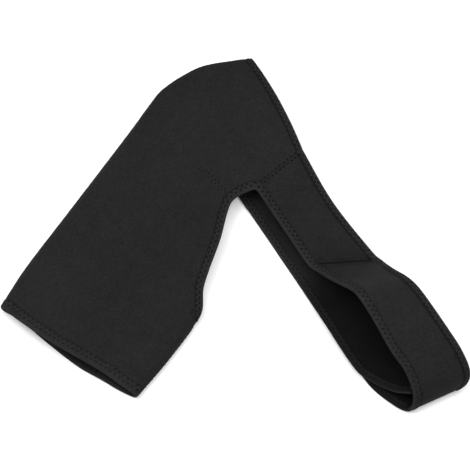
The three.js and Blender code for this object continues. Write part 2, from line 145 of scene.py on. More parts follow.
# The rounded underarm seam: half its depth, its heights, and how softly the armhole's rim leaves it
SEAM_BEND = 5.5
SEAM_Z = HALF_WALL + SEAM_BEND
SEAM_TOP = SEAM_Z + SEAM_BEND
SEAM_SOFT = 1.5

# Shares of the way from the cuff to the neck edge where the armhole and the shoulder seam begin and
# where the straps are sewn on
NOTCH_WAY = 0.265
SHOULDER_WAY = 0.71
STRAP_WAY = 0.8

FOLD_LINE = Table("way x y bend swell", [
    (0.0, 2.8, 170.5, 5.5, 9.5),
    (0.12, 26, 208.6, 8, 9),
    (0.3, 65.6, 264.2, 9, 9.5),
    (0.6, 131, 357.2, 8, 7),
    (0.7, 151.8, 388.5, 7, 6),
    (0.74, 161.6, 401.3, 6.5, 6),
    (0.81, 182.5, 417, 6, 5.5),
    (0.88, 205, 428.3, 5.5, 5),
    (1.0, 250.8, 436, 5, 4),
])

RIM_LINE = Table("way front_x front_y front_z back_x back_y", [
    (0.0, 137, 78, SEAM_Z, 137, 78),
    (0.13, 167.2, 115.5, SEAM_Z, 167.2, 115.5),
    (NOTCH_WAY, 196.8, 157.6, SEAM_Z, 196.8, 157.6),
    (0.295, 201.6, 166, 13, 198, 167.2),
    (0.37, 202.5, 186.5, 17, 197.5, 190.5),
    (0.44, 208.2, 206, 20, 201, 212),
    (0.545, 219.2, 237, 22.5, 209, 244),
    (0.675, 228.6, 272.5, 24, 216, 279),
    (0.73, 236.6, 282.5, 24.5, 222, 294),
    (STRAP_WAY, 256, 292, 25, 231, 304),
    (1.0, 302, 332, 23, 274.5, 332.5),
], corners=[9])

# How far each layer of the cuff's edge bows out, along the way from the fold to the seam
CUFF_LINE = Table("way front back", [
    (0, 0, 0),
    (0.13, 3.2, -1.5),
    (0.37, 5, 2.8),
    (0.6, 2.8, 5.4),
    (0.76, 0.8, 3.6),
    (0.9, 0.8, 2.4),
    (1, 0, 0),
])

# Soft hollows and swells of the front layer: x, y, reach, height
DENTS = np.array([
    (190, 283, 26, -2.5),
    (200, 311, 20, 2),
    (246, 338, 28, -2.5),
])

# Lengths of the front layer's soft unevenness across, along its sway, and along the layer, with the
# sway's strength and where it starts along the layer, in radians
RIPPLE_ACROSS, RIPPLE_SWAY, RIPPLE_ALONG = 13.0, 29.0, 17.0
RIPPLE_BEND, RIPPLE_START = 1.3, 0.6

# The two ends of the dart's stitch line
DART_ENDS = np.array([(199.0, 311.6), (226.0, 287.0)])

# Straps: a row for each straight line across, from the shoulder to the end
STRAP_COLUMNS = "way near_x near_y near_z far_x far_y far_z"
TAIL_Z = 2.5
OVERLAP_Z = 7.6
FRONT_CREASE_ROW = 3
FRONT_RIDGE_ROW = 6
FRONT_STRAP_ROWS = [
    (256, 292, 25, 302, 332, 23),
    (292, 237.5, 20, 333.5, 275, 20),
    (305, 218, 16.5, 373.5, 222.3, 17.6),
    (309.5, 212, 15.5, 380, 217, 17),
    (314.5, 207.5, 18, 383, 213, 20),
    (333, 189.5, 35, 391.5, 200.2, 37),
    (352, 173.5, 50, 406.5, 185.4, 51),
    (360, 163, 52.5, 415.6, 175.2, 53.5),
    (372, 143.5, 50, 428.6, 157, 52),
    (390, 112, 44, 446, 131.6, 47),
    (403, 94.5, 38, 457, 115.6, 41),
    (411, 76.5, 29, 465.6, 98.5, 31),
    (411.5, 66, 17.5, 465.2, 91, 17),
    (406, 63.6, 5.5, 457, 88.2, 5.5),
    (392, 71, 3, 437.5, 101, 3),
    (368, 92.5, TAIL_Z, 413.5, 122, TAIL_Z),
    (333.5, 146.5, TAIL_Z, 378.5, 175.5, TAIL_Z),
]
BACK_CORNER_ROW = 2
BACK_STRAP_ROWS = [
    (231, 304, TAIL_Z, 274.5, 332.5, TAIL_Z),
    (265, 251, TAIL_Z, 309, 279.5, TAIL_Z),
    (305.7, 187, TAIL_Z, 349.7, 215.5, TAIL_Z),
    (325.1, 154, OVERLAP_Z, 369.1, 182.5, OVERLAP_Z),
    (356, 105, OVERLAP_Z, 400.5, 133.5, OVERLAP_Z),
    (371, 93, 9, 416.5, 120, 9),
    (392, 81.5, 13, 440.5, 105.5, 13),
    (409.5, 77, 20.5, 459.5, 98, 20.5),
]

# Lengths from the back strap's sewn end over which the painted shade on its inner face grows dark, lengths
# from the front strap's sewn end over which the painted shade on its tape's inner leg dies out, and lengths
# about its crease over which the tape's fold gets its wear and painted highlight back, past the shaded loop
BACK_SHADE_WAY = (95, 165)
FRONT_SHADE_WAY = (-110, -40)
LOOP_SHADE_WAY = (-10, 10)

# Distances from an inner and from an outer edge at which the cloth has grid lines, the step where the
# tape is gripped, and how many of the last steps lie past the underarm seam's bend
EDGE_STEPS = np.array([0, 1.5, 3, 4.5, 6, 7, 7.3, 7.6, 7.9, 8.3, 8.8, 9.5, 10.6, 12])
OUTER_STEPS = np.array([0, 1.2, 2.4, 3.6, 4.5, 5, 5.3, 5.6, 6, 6.4, 6.8, 7.2, 7.8, 9])
TAPE_STEP = 5
PAST_SEAM = 5

# How much wider than the outer steps the grid's rows at the neck edge are spread along the fold
NECK_STRETCH = 1.15


class Layer(Enum):
    """The two layers of the folded sleeve."""

    FRONT = "front"
    BACK = "back"


class Face(Enum):
    """The two faces of a cloth, by the sign of its normal."""

    OUTER = 1.0
    INNER = -1.0


def unit(vectors: Array) -> Array:
    """Vectors along the last axis, scaled to length one."""
    return vectors / np.maximum(np.linalg.norm(vectors, axis=-1, keepdims=True), 1e-12)


def smoothstep(value: Array, low: float, high: float) -> Array:
    """Soft step from 0 at low to 1 at high: 3t squared less 2t cubed."""
    share = np.clip((value - low) / (high - low), 0.0, 1.0)
    return share * share * (3 - 2 * share)


def bell(value: Array, width: float) -> Array:
    """Bell curve of height 1 around 0: e to the minus square of value over width."""
    return np.exp(-np.square(value / width))


def arch(share: Array) -> Array:
    """Parabola that is 0 at both ends of a row and 1 in its middle."""
    return 4 * share * (1 - share)


def rounded_edge(distance: Array, bend: Array | float) -> Array:
    """Height share of a quarter circle: 1 at the edge, 0 from one bend radius inwards."""
    inward = np.clip(1 - distance / bend, 0.0, 1.0)
    return 1 - np.sqrt(1 - inward * inward)


def resting(height: Array) -> Array:
    """Heights over the floor: the mean of h plus gap and the root of (h less gap) and gap squared."""
    return (height + FLOOR_GAP + np.hypot(height - FLOOR_GAP, FLOOR_GAP)) / 2


def running_length(points: Array) -> Array:
    """Length along the first axis of a row of points, from 0 at its first point."""
    steps = np.linalg.norm(np.diff(points, axis=0), axis=-1)
    return np.concatenate([np.zeros_like(steps[:1]), np.cumsum(steps, axis=0)])


def read_along(at: Array, run: Array, rows: Array) -> Array:
    """Rows of values kept at running lengths, read at other lengths."""
    return np.stack([np.interp(at, run, column) for column in rows.T], axis=-1)


def linked(name: str, data: bpy.types.ID) -> bpy.types.Object:
    """Links new data into the scene.

    Args:
        name: the object's name.
        data: its mesh, camera or light.

    Returns:
        The object, at the origin.
    """
    made = bpy.data.objects.new(name, data)
    bpy.context.scene.collection.objects.link(made)
    return made


@dataclass
class MeshData:
    """A mesh of four-sided faces as whole arrays, in plan millimetres."""

    points: Array  # one row of x, y and z for each vertex
    faces: Array  # four vertex indices for each face
    uv: Array  # four u, v pairs for each face, in millimetres along the cloth
    marks: dict[str, Array] = field(default_factory=dict)  # numbers kept on each vertex, by name

    def volume(self) -> float:
        """Signed volume that the faces close, as the sum over their fans of triangles."""
        a, b, c, d = (self.points[self.faces[:, k]] for k in range(4))
        return float(np.sum(a * np.cross(b, c)) + np.sum(a * np.cross(c, d))) / 6

    def outward(self) -> MeshData:
        """The same mesh with its faces turned to point outwards."""
        turned = MeshData(self.points, self.faces[:, ::-1], self.uv[:, ::-1], self.marks)
        return self if self.volume() >= 0 else turned

    def used(self) -> MeshData:
        """Drops vertices that no face uses.

        Returns:
            The same mesh without them.
        """
        kept, faces = np.unique(self.faces, return_inverse=True)
        marks = {name: values[kept] for name, values in self.marks.items()}
        return MeshData(self.points[kept], faces.reshape(self.faces.shape), self.uv, marks)

    def build(self, name: str, material: bpy.types.Material) -> bpy.types.Object:
        """Puts the arrays into a smooth Blender mesh in the row's frame.

        Args:
            name: the piece's name.
            material: its finish.

        Returns:
            The new object, at the origin.
        """
        clean = self.used()
        mesh = bpy.data.meshes.new(name)
        count = len(clean.faces)
        mesh.vertices.add(len(clean.points))
        mesh.vertices.foreach_set("co", ((clean.points - PLAN_CENTRE) * MM).ravel())
        mesh.loops.add(4 * count)
        mesh.loops.foreach_set("vertex_index", clean.faces.ravel())
        mesh.polygons.add(count)
        mesh.polygons.foreach_set("loop_start", 4 * np.arange(count))
        mesh.polygons.foreach_set("use_smooth", np.ones(count, dtype=bool))
        mesh.uv_layers.new(name="cloth").data.foreach_set("uv", (clean.uv * MM).ravel())
        for mark, values in clean.marks.items():
            mesh.attributes.new(mark, "FLOAT", "POINT").data.foreach_set("value", values)
        mesh.update(calc_edges=True)
        mesh.validate()
        mesh.materials.append(material)
        LOG.info("%s: %d faces", name, count)
        return linked(name, mesh)

    @staticmethod
    def joined(parts: Sequence[MeshData]) -> MeshData:
        """Puts several loose meshes together.

        Args:
            parts: the meshes, all with the same marks.

        Returns:
            One mesh.
        """
        starts = np.cumsum([0] + [len(part.points) for part in parts])
        return MeshData(
            np.concatenate([part.points for part in parts]),
            np.concatenate([part.faces + start for part, start in zip(parts, starts)]),
            np.concatenate([part.uv for part in parts]),
            {name: np.concatenate([part.marks[name] for part in parts]) for name in parts[0].marks},
        )


@dataclass
class Surface:
    """A cloth's middle surface on a grid of rows and columns."""

    points: Array  # rows by columns of places
    uv: Array  # rows by columns of u, v pairs in millimetres along the cloth
    # How many of the first rows are closed in a ring, their last point being their first
    sewn_rows: int = 0
    closed_rows: bool = False  # whether the last row is the first one again
    normals: Array = field(init=False)  # the normal of each grid point

    def __post_init__(self) -> None:
        """Works out the normal of each grid point: the sum of the faces' cross products around it."""
        flat = self.points.reshape(-1, 3)
        index = self.index()
        faces = self.quads(index)
        across = flat[faces[:, 2]] - flat[faces[:, 0]]
        along = flat[faces[:, 3]] - flat[faces[:, 1]]
        turned = np.cross(across, along)
        total = np.zeros_like(flat)
        for corner in range(4):
            np.add.at(total, faces[:, corner], turned)
        self.normals = unit(total)[index]

    def index(self) -> Array:
        """Numbers the grid points, with sewn points joined.

        Returns:
            The vertex index of each grid point.
        """
        rows, columns = self.points.shape[:2]
        index = np.arange(rows * columns).reshape(rows, columns)
        index[: self.sewn_rows, -1] = index[: self.sewn_rows, 0]
        if self.closed_rows:
            index[-1] = index[0]
        return index

    @staticmethod
    def quads(grid: Array) -> Array:
        """The four corners of each cell of a grid of values, in the order of its faces."""
        corners = [grid[:-1, :-1], grid[1:, :-1], grid[1:, 1:], grid[:-1, 1:]]
        return np.stack([corner.reshape(-1, *grid.shape[2:]) for corner in corners], axis=1)

    def edge(self, rows: Array | slice, at_first: bool) -> tuple[Array, Array, Array]:
        """The first or the last column of some rows.

        Args:
            rows: the rows.
            at_first: whether it is the first column.

        Returns:
            Places on the edge, places a tape's width in, and normals.
        """
        edge, inner = (0, TAPE_STEP) if at_first else (-1, -1 - TAPE_STEP)
        return self.points[rows, edge], self.points[rows, inner], self.normals[rows, edge]

    def shell(
        self, outer: Array, inner: Array, marks: dict[str, Array], lining_shade: Array | float = 1.0
    ) -> MeshData:
        """The closed wall around the middle surface.

        Both faces are the middle points moved along their normals; quads along the free edges close it.

        Args:
            outer: distance of the outer face from the middle, for each grid point.
            inner: distance of the inner face, likewise.
            marks: numbers for each grid point, by name.
            lining_shade: how far the inner face shows darker, as darker cloth with painted shade.

        Returns:
            The closed mesh, with its faces pointing out.
        """
        index = self.index()
        count = index.size
        front = self.points + self.normals * outer[..., None]
        back = self.points - self.normals * inner[..., None]
        faces = self.quads(index)
        uv = self.quads(self.uv)
        edges = np.concatenate([faces[:, [k, (k + 1) % 4]] for k in range(4)])
        edge_uv = np.concatenate([uv[:, [k, (k + 1) % 4]] for k in range(4)])
        _, where, uses = np.unique(np.sort(edges, axis=1), axis=0, return_index=True, return_counts=True)
        free = where[uses == 1]
        start, end = edges[free].T
        rim = np.stack([end, start, start + count, end + count], axis=1)
        rim_uv = edge_uv[free][:, [1, 0, 0, 1]]
        # The inner face's share of darker cloth with painted shade
        inside = np.broadcast_to(lining_shade, index.shape).ravel()
        mesh = MeshData(
            np.concatenate([front.reshape(-1, 3), back.reshape(-1, 3)]),
            np.concatenate([faces, faces[:, ::-1] + count, rim]),
            np.concatenate([uv, uv[:, ::-1], rim_uv]),
            {"lining_shade": np.concatenate([np.zeros(count), inside])}
            | {name: np.tile(values.ravel(), 2) for name, values in marks.items()},
        )
        return mesh.outward()


@dataclass(frozen=True)
class Cloth:
    """Grid points of panels as seen from above, for laying stitches on them."""

    points: Array  # the grid points
    normals: Array  # their normals
    near: int = 6  # how many grid points give the place over a plan point
    blur: float = 0.05  # distance under which grid points count alike
    steep: float = 0.2  # least upward part of a normal

    def over(self, plan: Array) -> tuple[Array, Array]:
        """Places and normals of the cloth over plan points.

        The nearest grid points each give a height on their own tangent plane; these are averaged by the
        inverse square of the distance.

        Args:
            plan: x and y of each point.

        Returns:
            The places and the normals.
        """
        far = np.linalg.norm(plan[:, None] - self.points[None, :, :2], axis=-1)
        nearest = np.argpartition(far, self.near, axis=1)[:, :self.near]
        weight = 1 / np.square(np.take_along_axis(far, nearest, axis=1) + self.blur)
        weight /= weight.sum(axis=1, keepdims=True)
        normals = self.normals[nearest]
        step = plan[:, None] - self.points[nearest, :2]
        fall = np.sum(step * normals[..., :2], axis=-1) / np.maximum(normals[..., 2], self.steep)
        height = np.sum((self.points[nearest, 2] - fall) * weight, axis=1)
        return np.column_stack([plan, height]), unit(np.sum(normals * weight[..., None], axis=1))


@dataclass
class EdgePath:
    """A line on the cloth that carries tape or stitches."""

    points: Array  # places along the line at even steps
    inward: Array  # unit directions into the cloth, square to the line
    normals: Array  # unit normals of the cloth's outer face
    closed: bool = False  # whether the line is a ring
    cloth: Cloth | None = None  # panels that all places beside the line are laid on, if any
    pinch: Array | None = None  # share of each inward distance that is kept, along the line
    run: Array = field(init=False)  # running length of the line

    def __post_init__(self) -> None:
        """Keeps the running length of the line."""
        self.run = running_length(self.points)

    @property
    def length(self) -> float:
        """Length of the line."""
        return float(self.run[-1])

    @staticmethod
    def soften(values: Array, reach: float, closed: bool) -> Array:
        """Values along a line averaged with a bell curve.

        Args:
            values: one row for each step.
            reach: the bell's width in steps.
            closed: whether the line is a ring, whose last value is its first again.

        Returns:
            The softened values.
        """
        half = int(math.ceil(3 * reach))
        kernel = bell(np.arange(-half, half + 1), reach * math.sqrt(2))
        kernel /= kernel.sum()
        if closed:
            padded = np.concatenate([values[-half - 1:-1], values, values[1:half + 1]])
        else:
            padded = np.pad(values, ((half, half), (0, 0)), mode="reflect", reflect_type="odd")
        return np.stack([np.convolve(column, kernel, mode="valid") for column in padded.T], axis=1)

    @classmethod
    def along(
        cls,
        points: Array,
        inner: Array,
        normals: Array,
        step: float = 1.0,
        closed: bool = False,
        corners: Sequence[Array] = (),
    ) -> EdgePath:
        """A softened line at even steps through the given places.

        The line is averaged a little all along, and more around its corners.

        Args:
            points: places on the edge.
            inner: places one tape's width into the cloth.
            normals: normals of the cloth there.
            step: distance between the new places.
            closed: whether the line is a ring.
            corners: places that are rounded off.

        Returns:
            The line.
        """
        run = running_length(points)
        count = max(2, int(round(run[-1] / step)))
        rows = np.concatenate([points, unit(inner - points), normals], axis=1)
        rows = read_along(np.linspace(0, run[-1], count + 1), run, rows)
        fine = cls.soften(rows, SOFT_REACH / step, closed)
        round_off = cls.soften(rows, CORNER_REACH / step, closed)
        weight = np.zeros((len(rows), 1))
        for corner in corners:
            far = np.linalg.norm(rows[:, :3] - corner, axis=1, keepdims=True)
            weight = np.maximum(weight, bell(far, 3 * CORNER_REACH))
        place, inward, normal = np.split(fine + (round_off - fine) * weight, 3, axis=1)
        tangent = unit(np.gradient(place, axis=0))
        if closed:
            tangent[[0, -1]] = unit(place[1] - place[-2])
        normal = unit(normal - tangent * np.sum(normal * tangent, axis=1, keepdims=True))
        side = np.cross(normal, tangent)
        side *= np.sign(np.sum(side * inward))
        return cls(place, side, normal, closed)

    def place(self, run: Array, inward: Array, height: Array) -> Array:
        """Places beside the line: its point plus inward direction and normal times the two distances.

        Args:
            run: length along the line.
            inward: distance into the cloth.
            height: distance above the cloth's middle.

        Returns:
            The places, pressed up from the floor.
        """
        rows = np.concatenate([self.points, self.inward, self.normals], axis=1)
        point, side, normal = np.split(read_along(run, self.run, rows), 3, axis=-1)
        if self.pinch is not None:
            inward = inward * np.interp(run, self.run, self.pinch)
        point = point + side * inward[..., None]
        if self.cloth is not None:
            laid = self.cloth.over(point[..., :2].reshape(-1, 2))
            point, normal = (values.reshape(point.shape) for values in laid)
        placed = point + normal * height[..., None]
        placed[..., 2] = resting(placed[..., 2])
        return placed

    def normal_at(self, run: Array) -> Array:
        """Normals of the cloth at lengths along the line."""
        return read_along(run, self.run, self.normals)


@dataclass(frozen=True)
class Groove:
    """The step and channel beside an edge tape, with painted shade in the channel."""

    squeeze: float = 0.55  # how much the tape presses each face of the cloth in
    start: float = 7.0  # distance from the edge where the tape ends
    end: float = 8.1  # distance where the cloth is at its full thickness again
    dark: float = 0.3  # how dark the painted shade in the channel is
    echo: float = 0.0  # how dark a second line a little further in looks
    echo_gap: float = 0.8  # distance of that second line from the channel's end
    echo_width: float = 0.5  # its width

    def press(self, distance: Array) -> Array:
        """How far a face lies in at a distance from the edge: a soft step across the channel."""
        return self.squeeze * (1 - smoothstep(distance, self.start, self.end))

    def shade(self, distance: Array) -> Array:
        """Mark for the painted shade in the channel: a bell in the middle of the step, and a smaller one
        past its end.

        Args:
            distance: distances from the edge.

        Returns:
            How dark the cloth looks there.
        """
        middle = self.start + 0.4 * (self.end - self.start)
        channel = self.dark * bell(distance - middle, 0.45 * (self.end - self.start))
        return channel + self.echo * bell(distance - self.end - self.echo_gap, self.echo_width)

    @staticmethod
    def beside(*edges: tuple[Groove, Array]) -> tuple[Array, Array]:
        """What several grooves do to a cloth, the strongest of them at each place.

        Args:
            edges: each groove with the distances from its edge.

        Returns:
            How far a face is pressed in, and how dark its painted shade is.
        """
        presses = [groove.press(distance) for groove, distance in edges]
        shades = [groove.shade(distance) for groove, distance in edges]
        return np.maximum.reduce(presses), np.maximum.reduce(shades)


INNER_GROOVE = Groove()
CUFF_GROOVE = Groove(start=9.0, end=10.1)
OUTER_GROOVE = Groove(start=4.9, end=6.2, dark=0.9, echo=0.35)


# Points round a needle hole and round a thread, and along one leg of a zigzag
HOLE_SIDES = 8
TUBE_SIDES = 6
LEG_POINTS = 6

# Share of a ring's radius that is left where a thread or a hole's lens is closed
CLOSED_END = 0.02

# Rings of a needle hole's lens, from its top to its underside: radius as a share, and rise
LENS_REACH = np.array([CLOSED_END, 0.75, 1.0, CLOSED_END])[:, None]
LENS_RISE = np.array([0.1, 0.08, 0.0, -0.1])[:, None]


def tube_faces(rings: int, sides: int) -> Array:
    """Faces between rings of points, with a fan of quads on both ends.

    Args:
        rings: number of rings, each with one more point than it has sides, its last one not used.
        sides: even number of sides of each ring.

    Returns:
        Four vertex indices for each face, those between the rings first.
    """
    grid = np.arange(rings * (sides + 1)).reshape(rings, sides + 1)
    grid[:, -1] = grid[:, 0]
    first = np.arange(1, sides - 2, 2)
    fan = np.stack([np.zeros_like(first), first, first + 1, first + 2], axis=-1)
    return np.concatenate([Surface.quads(grid), grid[0, :-1][fan], grid[-1, -2::-1][fan]])


def tube(centre: Array, normals: Array, radius: float) -> MeshData:
    """A thin thread: a small circle carried square to its line, closed at both ends.

    Args:
        centre: places along the thread.
        normals: directions that the thread's upper side faces.
        radius: the thread's radius.

    Returns:
        The tube's mesh.
    """
    tangent = unit(np.gradient(centre, axis=0))
    side = unit(np.cross(tangent, normals))
    upper = np.cross(side, tangent)
    angle = np.linspace(0, 2 * math.pi, TUBE_SIDES + 1)
    size = np.full(len(centre), radius)
    size[[0, -1]] = CLOSED_END * radius
    ring = side[:, None] * np.cos(angle)[:, None] + upper[:, None] * np.sin(angle)[:, None]
    points = (centre[:, None] + ring * size[:, None, None]).reshape(-1, 3)
    run = running_length(centre)
    between = Surface.quads(np.stack(np.broadcast_arrays(run[:, None], angle * radius), axis=-1))
    faces = tube_faces(len(centre), TUBE_SIDES)
    uv = np.zeros(faces.shape + (2,))
    uv[:len(between)] = between
    return MeshData(points, faces, uv, {"pit_shade": np.zeros(len(points))}).outward()


@dataclass(frozen=True)
class Stitching:
    """A zigzag stitch: its holes lie in two rows, and its thread runs to and fro between them."""

    first: float = 2.9  # distance of the first row of holes from the line
    second: float = 6.25  # distance of the second row
    pitch: float = 5.4  # length of one zigzag
    thread: float = 0.22  # the thread's radius
    hole: float = 1.0  # radius of the dimple that the thread pulls at each hole
    depth: float = 0.5  # depth of that dimple
    faint: float = 0.75  # depth of the first row's dimples as a share of the second row's
    lift: float = 0.6  # height of a leg's middle over the cloth, in thread radii
    dive: float = 2.6  # depth that the thread falls by at a hole, in thread radii
    squash: float = 0.8  # a hole's width across the line as a share of its length

    def dimple(self, run: Array, inward: Array) -> Array:
        """Depth share of the dimples: bells around the holes of both rows.

        Args:
            run: length along the line.
            inward: distance into the cloth.

        Returns:
            The shares.
        """
        phase = np.mod(run / self.pitch, 1.0)
        at_first = np.minimum(phase, 1 - phase) * self.pitch
        at_second = np.abs(phase - 0.5) * self.pitch
        first = bell(np.hypot(at_first, inward - self.first), self.hole)
        second = bell(np.hypot(at_second, inward - self.second), self.hole)
        return self.faint * first + second

    def threads(self, path: EdgePath, height: float, face: Face, bend: float = math.inf) -> MeshData:
        """The thread as one long thin tube.

        It goes in straight legs between the two rows of holes and dives into the cloth at each hole:
        its height falls with the fourth power of the distance from a leg's middle, and with the square
        of the distance from the line where the cloth bends away.

        Args:
            path: the line that the stitches follow.
            height: the cloth's surface over its middle.
            face: which face of the cloth carries the thread.
            bend: radius of the cloth's bend across the line.

        Returns:
            The tube's mesh.
        """
        legs = 2 * int(path.length / self.pitch)
        leg = np.linspace(0, legs, legs * LEG_POINTS + 1)
        run = leg * path.length / legs
        swing = 1 - np.abs(1 - np.mod(leg, 2.0))
        inward = self.first + (self.second - self.first) * swing
        away = np.abs(np.mod(leg, 1.0) - 0.5) * 2
        over = self.lift * self.thread - self.dive * self.thread * away ** 4
        lift = height + over - inward ** 2 / (2 * bend)
        centre = path.place(run, inward, face.value * lift)
        return tube(centre, path.normal_at(run), self.thread)

    def holes(self, path: EdgePath, height: float, bend: float = math.inf) -> MeshData:
        """The pulled-in needle holes, small lenses at both ends of each leg, painted dark as the shade in
        them.

        Args:
            path: the line that the stitches follow.
            height: the cloth's surface over its middle.
            bend: radius of the cloth's bend across the line.

        Returns:
            The lenses as one mesh.
        """
        legs = 2 * int(path.length / self.pitch)
        leg = np.arange(legs + 1)
        run = np.clip(leg * path.length / legs, self.hole, path.length - self.hole)
        inward = np.where(leg % 2 == 0, self.first, self.second)
        angle = np.linspace(0, 2 * math.pi, HOLE_SIDES + 1)
        reach = LENS_REACH * self.hole
        along = run[:, None, None] + reach * np.cos(angle)
        across = inward[:, None, None] + self.squash * reach * np.sin(angle)
        points = path.place(along, across, height + LENS_RISE - across ** 2 / (2 * bend))
        starts = np.arange(len(points)) * points[0, ..., 0].size
        faces = (tube_faces(len(reach), HOLE_SIDES) + starts[:, None, None]).reshape(-1, 4)
        points = points.reshape(-1, 3)
        # The lenses are marked all dark: painted shade standing for the shade inside the needle holes
        marks = {"pit_shade": np.ones(len(points))}
        return MeshData(points, faces, np.zeros(faces.shape + (2,)), marks).outward()


@dataclass
class Sleeve:
    """The folded body of the brace: upper-arm sleeve and shoulder cap in one panel."""

    fold_length: float = 376.0  # length of the fold from the cuff to the neck edge
    open_way: float = 0.045  # share of the way over which the underarm seam opens into the armhole
    open_rows: int = 12  # number of close grid rows over that share
    lift: float = 1.0  # how far taped edges stand up from the floor
    lift_from: float = 8.0  # distance from the edge where that lift begins to die out
    lift_to: float = 24.0  # distance where it has died out
    neck_bow: float = 3.0  # how far the neck edge bows out between its ends
    wave: float = 0.35  # height of the soft unevenness of the front layer
    rows: int = 150  # number of even grid rows
    middle: int = 44  # number of grid columns between the fold and the rim
    bend_columns: int = 10  # number of grid columns round each half of the fold
    lining_shade: float = 0.4  # how far its inner face shows darker, as darker cloth with painted shade
    ways: Array = field(init=False)  # share of the way from the cuff to the neck edge, for each grid row
    surface: Surface = field(init=False)  # its middle surface
    rim_distance: Array = field(init=False)  # distance of each grid point from the armhole's edge
    notch_row: int = field(init=False)  # the row where the armhole begins
    strap_row: int = field(init=False)  # the row where the straps begin
    fold_column: int = field(init=False)  # the column along the fold

    def __post_init__(self) -> None:
        """Works out the grid: rows of constant way, from the front rim over the fold to the back rim."""
        edge = EDGE_STEPS / self.fold_length
        self.ways = np.unique(np.round(np.concatenate([
            np.linspace(0, 1, self.rows),
            edge,
            edge + (CUFF_TAPE_WIDTH - TAPE_WIDTH) / self.fold_length,
            1 - OUTER_STEPS / self.fold_length * NECK_STRETCH,
            np.linspace(NOTCH_WAY, NOTCH_WAY + self.open_way, self.open_rows),
            [STRAP_WAY],
        ]), 6))
        self.notch_row, self.strap_row = (self.row_at(way) for way in (NOTCH_WAY, STRAP_WAY))
        front, front_edge = self.layer(Layer.FRONT)
        back, back_edge = self.layer(Layer.BACK)
        points = np.concatenate([front[:, ::-1], back[:, 1:]], axis=1)
        sewn = self.notch_row + 1
        points[:sewn, -1] = points[:sewn, 0]
        self.rim_distance = np.concatenate([front_edge[:, ::-1], back_edge[:, 1:]], axis=1)
        across = running_length(np.swapaxes(points, 0, 1)).T
        along = np.broadcast_to(self.ways[:, None] * self.fold_length, across.shape)
        self.surface = Surface(points, np.stack([across, along], axis=-1), sewn_rows=sewn)
        self.fold_column = front.shape[1] - 1

    def row_at(self, way: float) -> int:
        """The first grid row that isn't before a way."""
        return int(np.searchsorted(self.ways, way))

    def edge_lift(self, distance: Array) -> Array:
        """Lift of a taped edge over the floor, a soft step that dies out inwards."""
        return self.lift * (1 - smoothstep(distance, self.lift_from, self.lift_to))

    def row_lift(self, way: Array) -> Array:
        """Lift of a whole row, near the cuff and near the neck edge."""
        return np.maximum(*(self.edge_lift(share * self.fold_length) for share in (way, 1 - way)))

    def opened(self, way: Array) -> Array:
        """How far the armhole has opened: 0 at the notch, 1 a little above it."""
        return smoothstep(way, NOTCH_WAY, NOTCH_WAY + self.open_way)

    def distances(self, fold: Array, rim: Array, length: Array) -> tuple[Array, Array]:
        """Distances from the fold of a layer's grid points, and the slant of its rows to the rim.

        Near the fold they follow the angle of its bend; at the rim they follow the seam's bend below the
        armhole and the tape's steps above it; between, they are even.

        Args:
            fold: plan place of each row on the fold.
            rim: its plan place on the rim.
            length: distance between the two.

        Returns:
            The distances, rows by columns, and the sine of the slant for each row.
        """
        bend = FOLD_LINE.read("bend", self.ways)[:, None]
        at_fold = bend * (1 - np.cos(np.radians(np.linspace(0, 90, self.bend_columns))))
        edge = unit(np.gradient(rim, self.ways, axis=0))
        row = unit(rim - fold)
        sine = np.abs(row[:, 0] * edge[:, 1] - row[:, 1] * edge[:, 0])
        turn = np.radians(np.linspace(0, 90, len(EDGE_STEPS) - PAST_SEAM))
        sewn = np.concatenate([SEAM_BEND * (1 - np.cos(turn)), EDGE_STEPS[-PAST_SEAM:] - 1])
        taped = EDGE_STEPS / np.maximum(sine, LEAST_SINE)[:, None]
        share = self.opened(self.ways)[:, None]
        at_rim = (length[:, None] - sewn - (taped - sewn) * share)[:, ::-1]
        even = np.linspace(0, 1, self.middle + 2)[1:-1]
        between = bend + (at_rim[:, :1] - bend) * even
        return np.concatenate([at_fold, between, at_rim], axis=1), sine

    def layer(self, layer: Layer) -> tuple[Array, Array]:
        """Middle surface of one layer, from the fold to the rim, and distances from the taped rim.

        Args:
            layer: the layer.

        Returns:
            Places, rows by columns, and each place's distance from the armhole's edge.
        """
        fold = FOLD_LINE.places("x y", self.ways)
        rim = RIM_LINE.places(f"{layer.value}_x {layer.value}_y", self.ways)
        length = np.linalg.norm(rim - fold, axis=1)
        distance, sine = self.distances(fold, rim, length)
        share = distance / length[:, None]
        plan = fold[:, None] + (rim - fold)[:, None] * share[..., None]
        plan = plan + self.edge_bow(layer, share, rim - fold)
        left = length[:, None] - distance
        if layer is Layer.FRONT:
            height = self.front_height(distance, share, left, plan)
        else:
            height = self.back_height(distance, left)
        points = np.concatenate([plan, height[..., None]], axis=-1)
        ends = [points[row, -1] for row in (self.notch_row, self.strap_row)]
        beyond = [np.linalg.norm(points - end, axis=-1) for end in ends]
        way = self.ways[:, None]
        from_rim = np.where(way < NOTCH_WAY, beyond[0], left * sine[:, None])
        return points, np.where(way > STRAP_WAY, beyond[1], from_rim)

    def edge_bow(self, layer: Layer, share: Array, across: Array) -> Array:
        """Level shift of the rows near the cuff and the neck edge, fading with a square inwards.

        Args:
            layer: the layer.
            share: share of the way from the fold to the rim.
            across: each row's plan direction from the fold to the rim.

        Returns:
            The shifts in plan.
        """
        cuff, neck = (np.array([row[1], -row[0]]) for row in unit(across[[0, -1]]))
        at_cuff = np.square(np.maximum(0, 1 - self.ways / NOTCH_WAY))[:, None]
        at_neck = np.square(np.maximum(0, 1 - (1 - self.ways) / (1 - STRAP_WAY)))[:, None]
        cuff_shift = CUFF_LINE.read(layer.value, share) * at_cuff
        neck_shift = self.neck_bow * arch(share) * at_neck
        return cuff_shift[..., None] * cuff - neck_shift[..., None] * neck

